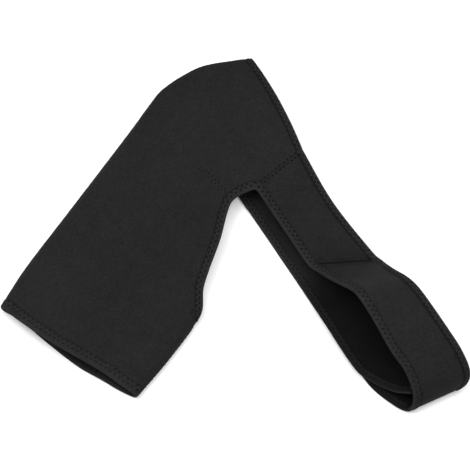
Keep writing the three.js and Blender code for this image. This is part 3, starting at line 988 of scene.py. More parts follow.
    def front_height(self, distance: Array, share: Array, left: Array, plan: Array) -> Array:
        """Height of the front layer: a line from the fold's top to the rim's, with an arch and dents.

        Quarter circles take it down at the fold and at the underarm seam.

        Args:
            distance: distance of each place from the fold.
            share: that distance as a share of the row.
            left: distance of each place from the rim.
            plan: plan place of each place.

        Returns:
            The heights.
        """
        way = self.ways[:, None]
        bend = FOLD_LINE.read("bend", way)
        rim = RIM_LINE.read("front_z", way)
        top = (rim + SEAM_TOP + np.hypot(rim - SEAM_TOP, SEAM_SOFT)) / 2
        fold_top = HALF_WALL + 2 * bend + self.row_lift(way)
        away = np.linalg.norm(plan[..., None, :] - DENTS[:, :2], axis=-1)
        dents = np.sum(DENTS[:, 3] * bell(away, DENTS[:, 2]), axis=-1)
        x, y = plan[..., 0], plan[..., 1]
        sway = RIPPLE_BEND * np.sin(y / RIPPLE_SWAY)
        ripple = np.sin(x / RIPPLE_ACROSS + sway) * np.sin(y / RIPPLE_ALONG + RIPPLE_START)
        soft = (dents + self.wave * ripple) * np.minimum(1, 2 * arch(share))
        swell = FOLD_LINE.read("swell", way) * arch(share)
        at_fold = bend * rounded_edge(distance, bend)
        at_rim = (top - rim) * rounded_edge(left, SEAM_BEND)
        return fold_top + (top - fold_top) * share + swell + soft - at_fold - at_rim

    def back_height(self, distance: Array, left: Array) -> Array:
        """Height of the back layer: flat on the floor, with quarter circles up at the fold and the seam.

        Args:
            distance: distance of each place from the fold.
            left: distance of each place from the rim.

        Returns:
            The heights.
        """
        way = self.ways[:, None]
        bend = FOLD_LINE.read("bend", way)
        near_notch = smoothstep(way, NOTCH_WAY - 2 * TAPE_WIDTH / self.fold_length, NOTCH_WAY)
        lift = np.maximum(self.row_lift(way), near_notch * self.edge_lift(left))
        seam = (1 - self.opened(way)) * (SEAM_BEND - lift) * rounded_edge(left, SEAM_BEND)
        return HALF_WALL + lift + bend * rounded_edge(distance, bend) + seam

    def mesh(self) -> MeshData:
        """The neoprene wall, pressed in under its edge tapes, with painted shade in the channels beside
        them and on its darker inner face.

        Returns:
            The closed mesh.
        """
        points = self.surface.points
        press, pit_shade = Groove.beside(
            (CUFF_GROOVE, running_length(points)),
            (OUTER_GROOVE, running_length(points[::-1])[::-1]),
            (INNER_GROOVE, self.rim_distance),
        )
        half = HALF_WALL - press
        return self.surface.shell(half, half, {"pit_shade": pit_shade, "wear_and_highlight": np.zeros_like(pit_shade)}, self.lining_shade)

    def rim(self, layer: Layer, first: int, last: int) -> tuple[Array, Array, Array]:
        """A layer's rim from one row to another, as Surface.edge gives it."""
        step = 1 if last >= first else -1
        return self.surface.edge(np.arange(first, last + step, step), layer is Layer.FRONT)

    def row(self, row: int, inner: int) -> tuple[Array, Array, Array]:
        """Edge places, inner places and normals along a whole row of the grid."""
        return self.surface.points[row], self.surface.points[inner], self.surface.normals[row]

    def upper_cloth(self) -> tuple[Array, Array]:
        """Grid points and normals of the front layer, up to the steep part of the fold."""
        seen = slice(0, self.fold_column - 1)
        return self.surface.points[:, seen].reshape(-1, 3), self.surface.normals[:, seen].reshape(-1, 3)


@dataclass(frozen=True)
class Crease:
    """A strap's sharp crease with painted shade about it, and the painted highlight on the ridge after it.
    """

    row: int  # the crease's row in the strap's table
    ridge: int  # the ridge's row
    reach: float = 3.0  # length on either side of the crease with close grid rows
    rows: int = 13  # number of those rows
    depth: float = 0.9  # depth of the crease's fine line
    width: float = 0.9  # width of that line
    line: float = 0.72  # how dark the painted shade line in the crease is
    line_before: float = 0.9  # how far before the crease it looks darkest
    line_width: float = 1.3  # width of the dark line
    clear: float = 1.5  # distance from a tape over which the line comes to its full depth
    shade: float = 0.42  # how dark the painted shade beside the line is
    # Lengths over which that shade dies out before and after the crease
    fade: tuple[float, float] = (18.0, 9.0)
    wear_and_highlight: float = 0.35  # how bright the painted highlight on the ridge is
    highlight_before: float = 7.0  # how far before the ridge the painted highlight is brightest
    highlight_width: float = 11.0  # width of the painted highlight's band

    def between(self, near: Array, far: Array) -> Array:
        """Share of the line's depth, a soft step beside each tape, from the distances of both edges."""
        from_near = smoothstep(near, TAPE_WIDTH, TAPE_WIDTH + self.clear)
        return from_near * smoothstep(far, OUTER_TAPE_WIDTH, OUTER_TAPE_WIDTH + self.clear)

    def press(self, past: Array) -> Array:
        """Depth of the line at a length past the crease: a bell."""
        return self.depth * bell(past, self.width)

    def dark(self, past: Array, between: Array) -> Array:
        """Mark for the painted shade: the dark line, a bell, and the shade beside it, which dies out with e
        to the length.
        """
        line = self.line * bell(past + self.line_before, self.line_width) * between
        return np.maximum(line, self.shade * np.exp(-np.abs(past) / np.where(past < 0, *self.fade)))

    def brightened(self, past_ridge: Array) -> Array:
        """Mark for the painted highlight on the ridge: a bell just before it."""
        return self.wear_and_highlight * bell(past_ridge + self.highlight_before, self.highlight_width)


@dataclass
class Strap:
    """A neoprene strap: straight lines across it, carried along two edges."""

    rows: Sequence[Sequence[float]]  # the places of its near and far edges, row by row
    corners: Sequence[int]  # rows where the strap may bend sharply
    near_first: bool  # whether the near edge is at the grid's first column
    crease: Crease | None = None  # its sharp crease, if it has one
    end_unshaded: float = 0.0  # how much less painted shade its inner face has at the sewn end
    step: float = 1.8  # distance between the grid's rows
    middle: int = 14  # number of grid columns between the taped edges
    ways: Array = field(init=False)  # length along the strap, for each grid row
    surface: Surface = field(init=False)  # its middle surface
    from_near: Array = field(init=False)  # distance of each grid point from the near edge
    from_far: Array = field(init=False)  # distance of each grid point from the far edge
    crease_run: float = field(init=False, default=0.0)  # length along the strap at its crease
    ridge_run: float = field(init=False, default=0.0)  # length along the strap at its ridge

    def __post_init__(self) -> None:
        """Works out the grid along the strap, closer at the crease."""
        places = np.array(self.rows, dtype=float).reshape(len(self.rows), 2, 3)
        run = running_length(places).mean(axis=1)
        table = Table(STRAP_COLUMNS, np.column_stack([run, places.reshape(len(run), 6)]), self.corners)
        ways = np.arange(0.0, run[-1], self.step)
        if self.crease is not None:
            self.crease_run, self.ridge_run = run[[self.crease.row, self.crease.ridge]]
            close = np.linspace(-self.crease.reach, self.crease.reach, self.crease.rows)
            ways = np.concatenate([ways, self.crease_run + close])
        self.ways = np.unique(np.append(ways, run[-1]))
        order = 1 if self.near_first else -1
        first, second = (
            table.places(f"{edge}_x {edge}_y {edge}_z", self.ways) for edge in ("near", "far")[::order])
        across = second - first
        width = np.linalg.norm(across, axis=1)
        reach = [(width * self.slant(across, edge))[:, None] for edge in (first, second)]
        steps = (EDGE_STEPS, OUTER_STEPS)[::order]
        left = steps[0] / reach[0]
        right = 1 - steps[1][::-1] / reach[1]
        even = np.linspace(0, 1, self.middle + 2)[1:-1]
        between = left[:, -1:] + (right[:, :1] - left[:, -1:]) * even
        share = np.concatenate([left, between, right], axis=1)
        points = first[:, None] + across[:, None] * share[..., None]
        along = np.broadcast_to(self.ways[:, None], share.shape)
        self.surface = Surface(points, np.stack([share * width[:, None], along], axis=-1))
        self.from_near, self.from_far = (share * reach[0], (1 - share) * reach[1])[::order]

    @property
    def length(self) -> float:
        """Length of the strap along its middle."""
        return float(self.ways[-1])

    @staticmethod
    def slant(across: Array, edge: Array) -> Array:
        """Sine of the angle between the lines across and an edge, not under its least value."""
        direction = unit(np.gradient(edge, axis=0))
        return np.maximum(np.linalg.norm(np.cross(unit(across), direction), axis=1), LEAST_SINE)

    def mesh(self) -> MeshData:
        """The strap's wall, pressed in under its tapes and along its crease, with painted shade in the
        channels, about the crease and growing along its inner face, and a painted highlight on the ridge.

        Returns:
            The closed mesh.
        """
        press, pit_shade = Groove.beside((INNER_GROOVE, self.from_near), (OUTER_GROOVE, self.from_far))
        outer = HALF_WALL - press
        wear_and_highlight = np.zeros_like(pit_shade)
        if self.crease is not None:
            between = self.crease.between(self.from_near, self.from_far)
            past = (self.ways - self.crease_run)[:, None]
            outer = outer - self.crease.press(past) * between
            pit_shade = np.maximum(pit_shade, self.crease.dark(past, between))
            wear_and_highlight = wear_and_highlight + self.crease.brightened(self.ways - self.ridge_run)[:, None]
        # Darker inner cloth with painted shade, the painted shade lighter at the sewn end and full under
        # the loop
        lining_shade = 1 - self.end_unshaded * (1 - smoothstep(self.ways, *BACK_SHADE_WAY))[:, None]
        return self.surface.shell(outer, HALF_WALL - press, {"pit_shade": pit_shade, "wear_and_highlight": wear_and_highlight}, lining_shade)

    def edge(self, near: bool, from_end: bool) -> tuple[Array, Array, Array]:
        """Its near or its far edge, from its end or towards it, as Surface.edge gives it."""
        return self.surface.edge(slice(None, None, -1 if from_end else 1), near == self.near_first)


# Grid steps of a tape about a row of holes, and shares of the way from there to its fold
ROW_STEPS = np.array([0.7, 0.35, 0, -0.35, -0.7])
FOLD_STEPS = np.array([0.55, 0.2])

# Share of a tape's seat from which its section is a leg, and how much darker than deep a dimple is painted,
# as the shade in it
LEG_HEIGHT = 0.9
DIMPLE_SHADE = 1.5


@dataclass
class EdgeTape:
    """Tape folded over a cut edge and sewn through with a zigzag."""

    path: EdgePath  # the edge that it covers
    width: float = TAPE_WIDTH  # how far it reaches into the cloth on each face
    cloth: float = 0.6  # the tape's own thickness
    seat: float = 1.42  # height of its middle over the cloth's middle
    puff: float = 0.1  # how far each leg bulges
    tuck: float = 0.16  # how far the end of each leg is pulled in
    tuck_reach: float = 0.5  # length of that pulled-in end
    fold_start: float = 0.2  # distance from the edge where its fold begins
    fold_flat: float = 0.35  # how much flatter than a half circle the fold is
    fold_columns: int = 9  # number of grid columns round the fold
    wear_and_highlight_reach: float = 0.6  # how far the wear and painted highlight of its fold reach on to the legs
    thread_lift: float = 0.06  # height of the thread over the tape
    stitching: Stitching = Stitching()  # the zigzag through it
    lining_shade: Array | float = 1.0  # how far its inner leg shows darker, as darker cloth with painted shade, along the edge
    worn_and_lit: Array | float = 1.0  # how much wear and painted highlight its fold gets, along the edge

    def profile(self) -> tuple[Array, Array, Array]:
        """The fold's section: in along one face, round the edge in a half circle, and back.

        Returns:
            Distance inward, height over the cloth's middle, and how much wear and painted highlight each
            point gets.
        """
        holes = self.stitching.first, self.stitching.second
        first, second = (row + ROW_STEPS for row in holes)
        steps = np.concatenate([[self.width], second, [sum(holes) / 2], first, first[-1] * FOLD_STEPS])
        leg = self.seat + self.puff * np.sin(math.pi * steps / self.width)
        leg = leg - self.tuck * bell(steps - self.width, self.tuck_reach)
        wear_and_highlight = bell(steps, self.wear_and_highlight_reach)
        angle = np.radians(np.linspace(90, -90, self.fold_columns))[1:-1]
        turn = self.fold_start - (self.seat - self.fold_flat) * np.cos(angle)
        inward = np.concatenate([steps, turn, steps[::-1]])
        height = np.concatenate([leg, self.seat * np.sin(angle), -leg[::-1]])
        return inward, height, np.concatenate([wear_and_highlight, np.cos(angle), wear_and_highlight[::-1]])

    def mesh(self) -> MeshData:
        """The tape's wall, dimpled at each stitch hole, with painted shade in the dimples and on its inner
        leg, and wear with painted highlight on its fold.

        Returns:
            The closed mesh.
        """
        inward, height, wear_and_highlight = self.profile()
        run = self.path.run[:, None]
        dimple = self.stitching.dimple(run, inward) * (np.abs(height) > LEG_HEIGHT * self.seat)
        sunk = height * (1 - self.stitching.depth * np.minimum(dimple, 1) / self.seat)
        grid = self.path.place(*np.broadcast_arrays(run, inward, sunk))
        girth = running_length(np.column_stack([inward, height]))
        uv = np.stack(np.broadcast_arrays(girth, run), axis=-1)
        surface = Surface(grid, uv, closed_rows=self.path.closed)
        half = np.full(grid.shape[:2], self.cloth / 2)
        # Marks: painted shade in the dimples, wear with painted highlight on the fold, darker cloth with
        # painted shade on the inner leg
        marks = {
            "pit_shade": np.minimum(DIMPLE_SHADE * dimple, 1),
            "wear_and_highlight": np.reshape(self.worn_and_lit, (-1, 1)) * wear_and_highlight,
            "lining_shade": np.reshape(self.lining_shade, (-1, 1)) * smoothstep(-height, 0, self.seat),
        }
        marks = {name: np.broadcast_to(values, dimple.shape) for name, values in marks.items()}
        return surface.shell(half, half, marks)

    def threads(self) -> MeshData:
        """The zigzag thread on both faces of the tape."""
        height = self.seat + self.cloth / 2 + self.thread_lift
        return MeshData.joined([self.stitching.threads(self.path, height, face) for face in Face])


@dataclass(frozen=True)
class HookPatch:
    """The hook-and-loop patch between the strap's tail and the back strap."""

    width: float = 30.0  # its side across the straps
    length: float = 40.0  # its side along them
    thickness: float = 1.5  # its thickness over the hooks
    hook: float = 0.25  # height of the hooks
    pitch: float = 1.6  # distance between the hooks
    columns: int = 61  # number of grid columns
    rows: int = 81  # number of grid rows
    corner_x: float = 0.06  # share by which its corners are squeezed in across
    corner_y: float = 0.045  # share by which they are squeezed in along
    power: int = 8  # how sharply that squeeze grows towards the corners
    centre: tuple[float, float, float] = (366.0, 140.5, (TAIL_Z + OVERLAP_Z) / 2)  # its middle

    def mesh(self) -> MeshData:
        """A flat slab with rounded corners whose faces are raised in rows of hooks.

        The plan is a grid squeezed towards a rounded rectangle; the hooks are products of sine squares, and
        the cloth between them is darkened as painted shade.

        Returns:
            The closed mesh.
        """
        upper, lower = (np.array(row[:2]) for row in BACK_STRAP_ROWS[3:5])
        along = unit(upper - lower)
        across = np.array([along[1], -along[0]])
        u = np.linspace(-1, 1, self.columns)[None, :]
        v = np.linspace(-1, 1, self.rows)[:, None]
        x = u * (1 - self.corner_x * v ** self.power) * self.width / 2
        y = v * (1 - self.corner_y * u ** self.power) * self.length / 2
        plan = x[..., None] * across + y[..., None] * along
        points = np.concatenate([plan, np.zeros(x.shape + (1,))], axis=-1) + np.array(self.centre)
        hooks = np.square(np.sin(math.pi * x / self.pitch) * np.sin(math.pi * y / self.pitch))
        half = self.thickness / 2 - self.hook * (1 - hooks)
        surface = Surface(points, np.stack([x, y], axis=-1))
        return surface.shell(half, half, {"pit_shade": 1 - hooks, "wear_and_highlight": np.zeros_like(x)})


# Size in metres and detail of the fine, mottled and broad noise of the cloth and of the floor's clouds
FINE, MOTTLE, BROAD, CLOUDS = (0.0024, 2.0), (0.012, 4.0), (0.09, 2.0), (0.6, 2.0)

NOISE_ROUGHNESS = 0.55

# Weights of mottle, fine spots, broad spots and loops in a cloth's tone, and what comes off their sum
TONE_WEIGHTS = (0.4, 1.2, 0.5, 0.22)
TONE_DROP = 0.65

# Slant of the knit's rows, how far a row rises and falls, and its middle height
ROW_SLANT, ROW_SWING, ROW_MIDDLE = 1.1, 0.3, 0.7

# Weight of the fine spots beside the loops in the relief, and its strength on cloth and on thread
SPOT_RELIEF, CLOTH_BUMP, THREAD_BUMP = 0.8, 0.6, 0.5

# Least share of the wear and painted highlight between the mottled spots, and what is left of the dark
# colour on the darker inner face with its painted shade and in the painted shade of hollows, with the
# share of the hollows' shade mark that is used
LEAST_WEAR_AND_HIGHLIGHT = 0.2
LINING_SHADE_COLOUR = 0.3
PIT_SHADE_COLOUR, PIT_SHADE_SHARE = 0.1, 0.9

# Roughness and colour of the fibre sheen
SHEEN_ROUGHNESS, SHEEN_TINT = 0.45, 0.55


class Shader:
    """A material's nodes, laid out one by one."""

    def __init__(self, name: str) -> None:
        """Makes an empty node material with its output and its main shader.

        Args:
            name: the material's name.
        """
        self.material = bpy.data.materials.new(name)
        self.material.use_nodes = True
        self.tree = self.material.node_tree
        self.tree.nodes.clear()
        self.surface = self.node("ShaderNodeBsdfPrincipled")
        self.node("ShaderNodeOutputMaterial", {"Surface": self.surface.outputs["BSDF"]})

    def node(
        self, kind: str, values: dict[str | int, object] | None = None, **options: object
    ) -> bpy.types.Node:
        """Adds a node.

        Args:
            kind: Blender's name for the node.
            values: input values or output sockets to link, by the input's name or number.
            options: the node's own settings.

        Returns:
            The node.
        """
        made = self.tree.nodes.new(kind)
        for option, value in options.items():
            setattr(made, option, value)
        self.fill(made, values or {})
        return made

    def fill(self, node: bpy.types.Node, values: dict[str | int, object]) -> None:
        """Feeds a node's inputs.

        Args:
            node: the node.
            values: output sockets to link or the inputs' own values, by the input's name or number.
        """
        for key, value in values.items():
            if isinstance(value, bpy.types.NodeSocket):
                self.tree.links.new(value, node.inputs[key])
            else:
                node.inputs[key].default_value = value

    def math(self, operation: str, *values: object) -> bpy.types.NodeSocket:
        """Result of a math node on sockets or numbers."""
        return self.node("ShaderNodeMath", dict(enumerate(values)), operation=operation).outputs[0]

    def place(self) -> bpy.types.NodeSocket:
        """The object's own places, in metres."""
        return self.node("ShaderNodeTexCoord").outputs["Object"]

    def noise(self, size: float, detail: float) -> bpy.types.NodeSocket:
        """Soft noise whose spots are about size metres wide."""
        spots = {"Scale": 1 / size, "Detail": detail, "Roughness": NOISE_ROUGHNESS}
        return self.node("ShaderNodeTexNoise", spots | {"Vector": self.place()}).outputs[0]

    def cloth_uv(self) -> bpy.types.NodeOutputs:
        """The two lengths along the cloth, in metres."""
        uv = self.node("ShaderNodeUVMap", uv_map="cloth").outputs[0]
        return self.node("ShaderNodeSeparateXYZ", {0: uv}).outputs

    def mark(self, name: str) -> bpy.types.NodeSocket:
        """A number kept on the mesh."""
        return self.node("ShaderNodeAttribute", attribute_name=name).outputs["Fac"]

    def range(self, value: object, low: float, high: float) -> bpy.types.NodeSocket:
        """A value from 0 to 1 spread from low to high."""
        return self.node("ShaderNodeMapRange", {"Value": value, "To Min": low, "To Max": high}).outputs[0]

    def mix(self, share: object, first: object, second: object) -> bpy.types.NodeSocket:
        """Two colours mixed by a share."""
        return self.node("ShaderNodeMix", {0: share, 6: first, 7: second}, data_type="RGBA").outputs[2]

    def bump(self, height: bpy.types.NodeSocket, depth: float, strength: float) -> bpy.types.NodeSocket:
        """Normals raised by a height from 0 to 1, the depth being in millimetres."""
        values = {"Height": height, "Distance": depth * MM, "Strength": strength}
        return self.node("ShaderNodeBump", values).outputs[0]


def grey(value: float) -> tuple[float, float, float, float]:
    """A neutral colour."""
    return (value, value, value, 1.0)


@dataclass(frozen=True)
class KnitFinish:
    """A knitted or woven cloth face."""

    name: str  # the material's name
    dark: float  # colour of its low spots
    light: float  # colour of its high spots
    worn_and_lit: float  # colour of places with wear and painted highlight
    wale: float  # width of one column of loops, in millimetres
    course: float  # height of one row of loops, in millimetres
    relief: float  # height of the loops, in millimetres
    lining_shade: float = 0.0  # how much darker the inner face is, as darker cloth with painted shade
    roughness: tuple[float, float] = (0.7, 0.9)  # lowest and highest roughness
    sheen: float = 0.033  # strength of the fibre sheen
    shine: float = 0.05  # strength of the mirror light on high spots

    def loops(self, shader: Shader) -> bpy.types.NodeSocket:
        """Height of the loops: rounded columns crossed by slanted rows that point up in a V.

        Args:
            shader: the material's nodes.

        Returns:
            The height, from 0 to 1.
        """
        u, v, _ = shader.cloth_uv()
        across = shader.math("MULTIPLY", u, 1 / (self.wale * MM))
        along = shader.math("MULTIPLY", v, 1 / (self.course * MM))
        slope = shader.math("PINGPONG", across, 0.5)
        column = shader.math("ABSOLUTE", shader.math("SINE", shader.math("MULTIPLY", across, math.pi)))
        rise = shader.math("MULTIPLY_ADD", slope, ROW_SLANT, along)
        row = shader.math("SINE", shader.math("MULTIPLY", rise, 2 * math.pi))
        return shader.math("MULTIPLY", column, shader.math("MULTIPLY_ADD", row, ROW_SWING, ROW_MIDDLE))

    def material(self) -> bpy.types.Material:
        """The finish: loops in relief, mottled colour, painted shade in channels, holes and creases and on
        the darker inner face, and wear with painted highlight on edges.

        Returns:
            The material.
        """
        shader = Shader(self.name)
        loops = self.loops(shader)
        fine, mottle, broad = (shader.noise(*spots) for spots in (FINE, MOTTLE, BROAD))
        tone = -TONE_DROP
        for part, weight in zip((mottle, fine, broad, loops), TONE_WEIGHTS):
            tone = shader.math("MULTIPLY_ADD", part, weight, tone)
        colour = shader.mix(shader.range(tone, 0.0, 1.0), grey(self.dark), grey(self.light))
        # Edges and the ridge are lightened, partly as wear and partly as painted highlight
        brightened = shader.math("MULTIPLY", shader.mark("wear_and_highlight"), shader.range(mottle, LEAST_WEAR_AND_HIGHLIGHT, 1.0))
        colour = shader.mix(brightened, colour, grey(self.worn_and_lit))
        # The inner face is darkened, partly as darker cloth and partly as painted shade
        lining_shade = shader.math("MULTIPLY", shader.mark("lining_shade"), self.lining_shade)
        colour = shader.mix(lining_shade, colour, grey(LINING_SHADE_COLOUR * self.dark))
        # Painted shade in channels, needle holes, creases and between hooks darkens the colour and takes
        # the shine away
        pit_shade = shader.math("MULTIPLY", shader.mark("pit_shade"), PIT_SHADE_SHARE)
        shaded = shader.math("MAXIMUM", pit_shade, lining_shade)
        relief = shader.math("MULTIPLY_ADD", fine, SPOT_RELIEF, loops)
        shader.fill(shader.surface, {
            "Base Color": shader.mix(pit_shade, colour, grey(PIT_SHADE_COLOUR * self.dark)),
            "Specular IOR Level": shader.math("MULTIPLY_ADD", shaded, -self.shine, self.shine),
            "Roughness": shader.range(fine, *self.roughness),
            "Normal": shader.bump(relief, self.relief, CLOTH_BUMP),
            "Sheen Weight": self.sheen,
            "Sheen Roughness": SHEEN_ROUGHNESS,
            "Sheen Tint": grey(SHEEN_TINT),
        })
        return shader.material


@dataclass(frozen=True)
class ThreadFinish:
    """Twisted black sewing thread."""

    name: str = "black_thread"  # the material's name
    dark: float = 0.0066  # colour between the twists
    light: float = 0.022  # colour on the twists
    twist: float = 0.5  # length of one twist, in millimetres
    relief: float = 0.1  # height of the twists, in millimetres
    shine: float = 0.085  # strength of the mirror light
    roughness: tuple[float, float] = (0.42, 0.6)  # roughness between the twists and on them

    def material(self) -> bpy.types.Material:
        """The finish: slanting twist along the thread, a little shine, and painted shade in the holes, dark
        and without shine.

        Returns:
            The material.
        """
        shader = Shader(self.name)
        u, v, _ = shader.cloth_uv()
        slant = shader.math("MULTIPLY", shader.math("ADD", u, v), 2 * math.pi / (self.twist * MM))
        share = shader.math("MULTIPLY_ADD", shader.math("SINE", slant), 0.5, 0.5)
        colour = shader.mix(share, grey(self.dark), grey(self.light))
        # The needle holes' lenses are painted dark as shade, and their shine is taken away
        hole = shader.mark("pit_shade")
        shader.fill(shader.surface, {
            "Base Color": shader.mix(hole, colour, grey(PIT_SHADE_COLOUR * self.dark)),
            "Specular IOR Level": shader.math("MULTIPLY_ADD", hole, -self.shine, self.shine),
            "Roughness": shader.range(share, *self.roughness),
            "Normal": shader.bump(share, self.relief, THREAD_BUMP),
        })
        return shader.material


@dataclass(frozen=True)
class FloorFinish:
    """A plain pale studio floor."""

    name: str = "pale_floor"  # the material's name
    dark: float = 0.86  # darkest colour of its clouds
    light: float = 0.92  # lightest colour
    roughness: tuple[float, float] = (0.8, 0.9)  # lowest and highest roughness
    shine: float = 0.1  # strength of the mirror light

    def material(self) -> bpy.types.Material:
        """The finish: matt, with the faintest clouding.

        Returns:
            The material.
        """
        shader = Shader(self.name)
        cloud = shader.noise(*CLOUDS)
        shader.fill(shader.surface, {
            "Base Color": shader.mix(cloud, grey(self.dark), grey(self.light)),
            "Roughness": shader.range(cloud, *self.roughness),
            "Specular IOR Level": self.shine,
        })
        return shader.material


JERSEY = KnitFinish(
    "black_jersey", dark=0.005, light=0.0154, worn_and_lit=0.025, wale=0.9, course=0.75, relief=0.16, lining_shade=0.72)
TAPE = KnitFinish(
    "edge_tape", dark=0.0062, light=0.0200, worn_and_lit=0.0205, wale=0.6, course=0.6, relief=0.12, lining_shade=0.6)
HOOKS = KnitFinish("hook_tape", dark=0.004, light=0.012, worn_and_lit=0.02, wale=1.6, course=1.6, relief=0.2)

# Square soft lights that face the brace: name, place and side in metres, power in watts
LAMPS = [
    ("key", (-0.9, 0.0, 1.4), 1.0, 18.0),
    ("fill", (0.9, -0.5, 1.4), 1.4, 17.0),
    ("top", (0.1, 0.3, 2.0), 2.6, 48.0),
]


@dataclass(frozen=True)
class Studio:
    """Floor, soft light and the photograph's camera."""

    elevation: float = 70.0  # the camera's angle over the floor, in degrees
    view: float = 470.0  # width of the picture at the target, in millimetres
    lens: float = 400.0  # focal length; a long one keeps the lines as parallel as they look
    sensor: float = 36.0  # width of the camera's sensor
    # Nearest and farthest distance that the camera sees, in metres
    clip: tuple[float, float] = (0.05, 50.0)
    # Plan x and upward place of the picture's middle, in millimetres
    middle: tuple[float, float] = (235.0, 235.0)
    target: float = 14.0  # height of the plane on which a millimetre is a pixel
    floor: float = 6.0  # side of the floor, in metres
    sky: float = 0.2  # strength of the light from all round

    @staticmethod
    def aim(made: bpy.types.Object, place: Vector, back: Vector) -> None:
        """Puts a camera or a light at a place, looking against a direction."""
        made.location, made.rotation_mode = place, "QUATERNION"
        made.rotation_quaternion = (-back).to_track_quat("-Z", "Y")

    def camera(self) -> None:
        """Puts the camera on its line through the picture's middle."""
        angle = math.radians(self.elevation)
        up = (self.middle[1] - self.target * math.cos(angle)) / math.sin(angle)
        target = (np.array([self.middle[0], up, self.target]) - PLAN_CENTRE) * MM
        distance = self.view * MM * self.lens / self.sensor
        data = bpy.data.cameras.new("camera")
        data.lens, data.sensor_width = self.lens, self.sensor
        data.clip_start, data.clip_end = self.clip
        back = Vector((0.0, -math.cos(angle), math.sin(angle)))
        made = linked("camera", data)
        self.aim(made, Vector(target) + back * distance, back)
        bpy.context.scene.camera = made

    def ground(self) -> None:
        """Lays the floor under the brace."""
        half = self.floor / 2
        corners = [(-half, -half, 0), (half, -half, 0), (half, half, 0), (-half, half, 0)]
        mesh = bpy.data.meshes.new("floor")
        mesh.from_pydata(corners, [], [(0, 1, 2, 3)])
        mesh.materials.append(FloorFinish().material())
        linked("floor", mesh)

    def light(self) -> None:
        """Lights the brace softly from all round, and a little more from both sides."""
        world = bpy.data.worlds.new("studio")
        world.use_nodes = True
        background = world.node_tree.nodes["Background"]
        background.inputs["Color"].default_value = grey(1.0)
        background.inputs["Strength"].default_value = self.sky
        bpy.context.scene.world = world
        for name, place, size, power in LAMPS:
            data = bpy.data.lights.new(name, "AREA")
            data.shape, data.size, data.energy = "SQUARE", size, power
            self.aim(linked(name, data), Vector(place), Vector(place))
        bpy.context.scene.view_settings.view_transform = "Standard"

    def build(self) -> None:
        """Sets up camera, floor and light."""
        self.camera()
        self.ground()
        self.light()


# Steps of a tape's line to one zigzag, and length of the steps of a seam's line
STITCH_STEPS = 6
SEAM_STEP = 1.0

# Height of a seam's stitches over the cloth's middle
SEAM_HEIGHT = HALF_WALL + 0.02

# Zigzags of the seams, wide where two panels meet edge to edge
FLATLOCK = Stitching(first=-1.9, second=1.9, pitch=4.9)
NARROW = Stitching(first=-1.2, second=1.2, pitch=4.2, hole=0.75)

# Rows of the front strap that seam stitches can lie on, rows that the underarm seam and the shoulder
# seam leave free at their ends, the shoulder seam's columns from the fold, and points along the dart
STRAP_ROWS = slice(1, 12)
UNDERARM_FREE = 4
SHOULDER_FREE = 8
SHOULDER_COLUMN, SHOULDER_INNER = 4, 7
DART_POINTS = 40


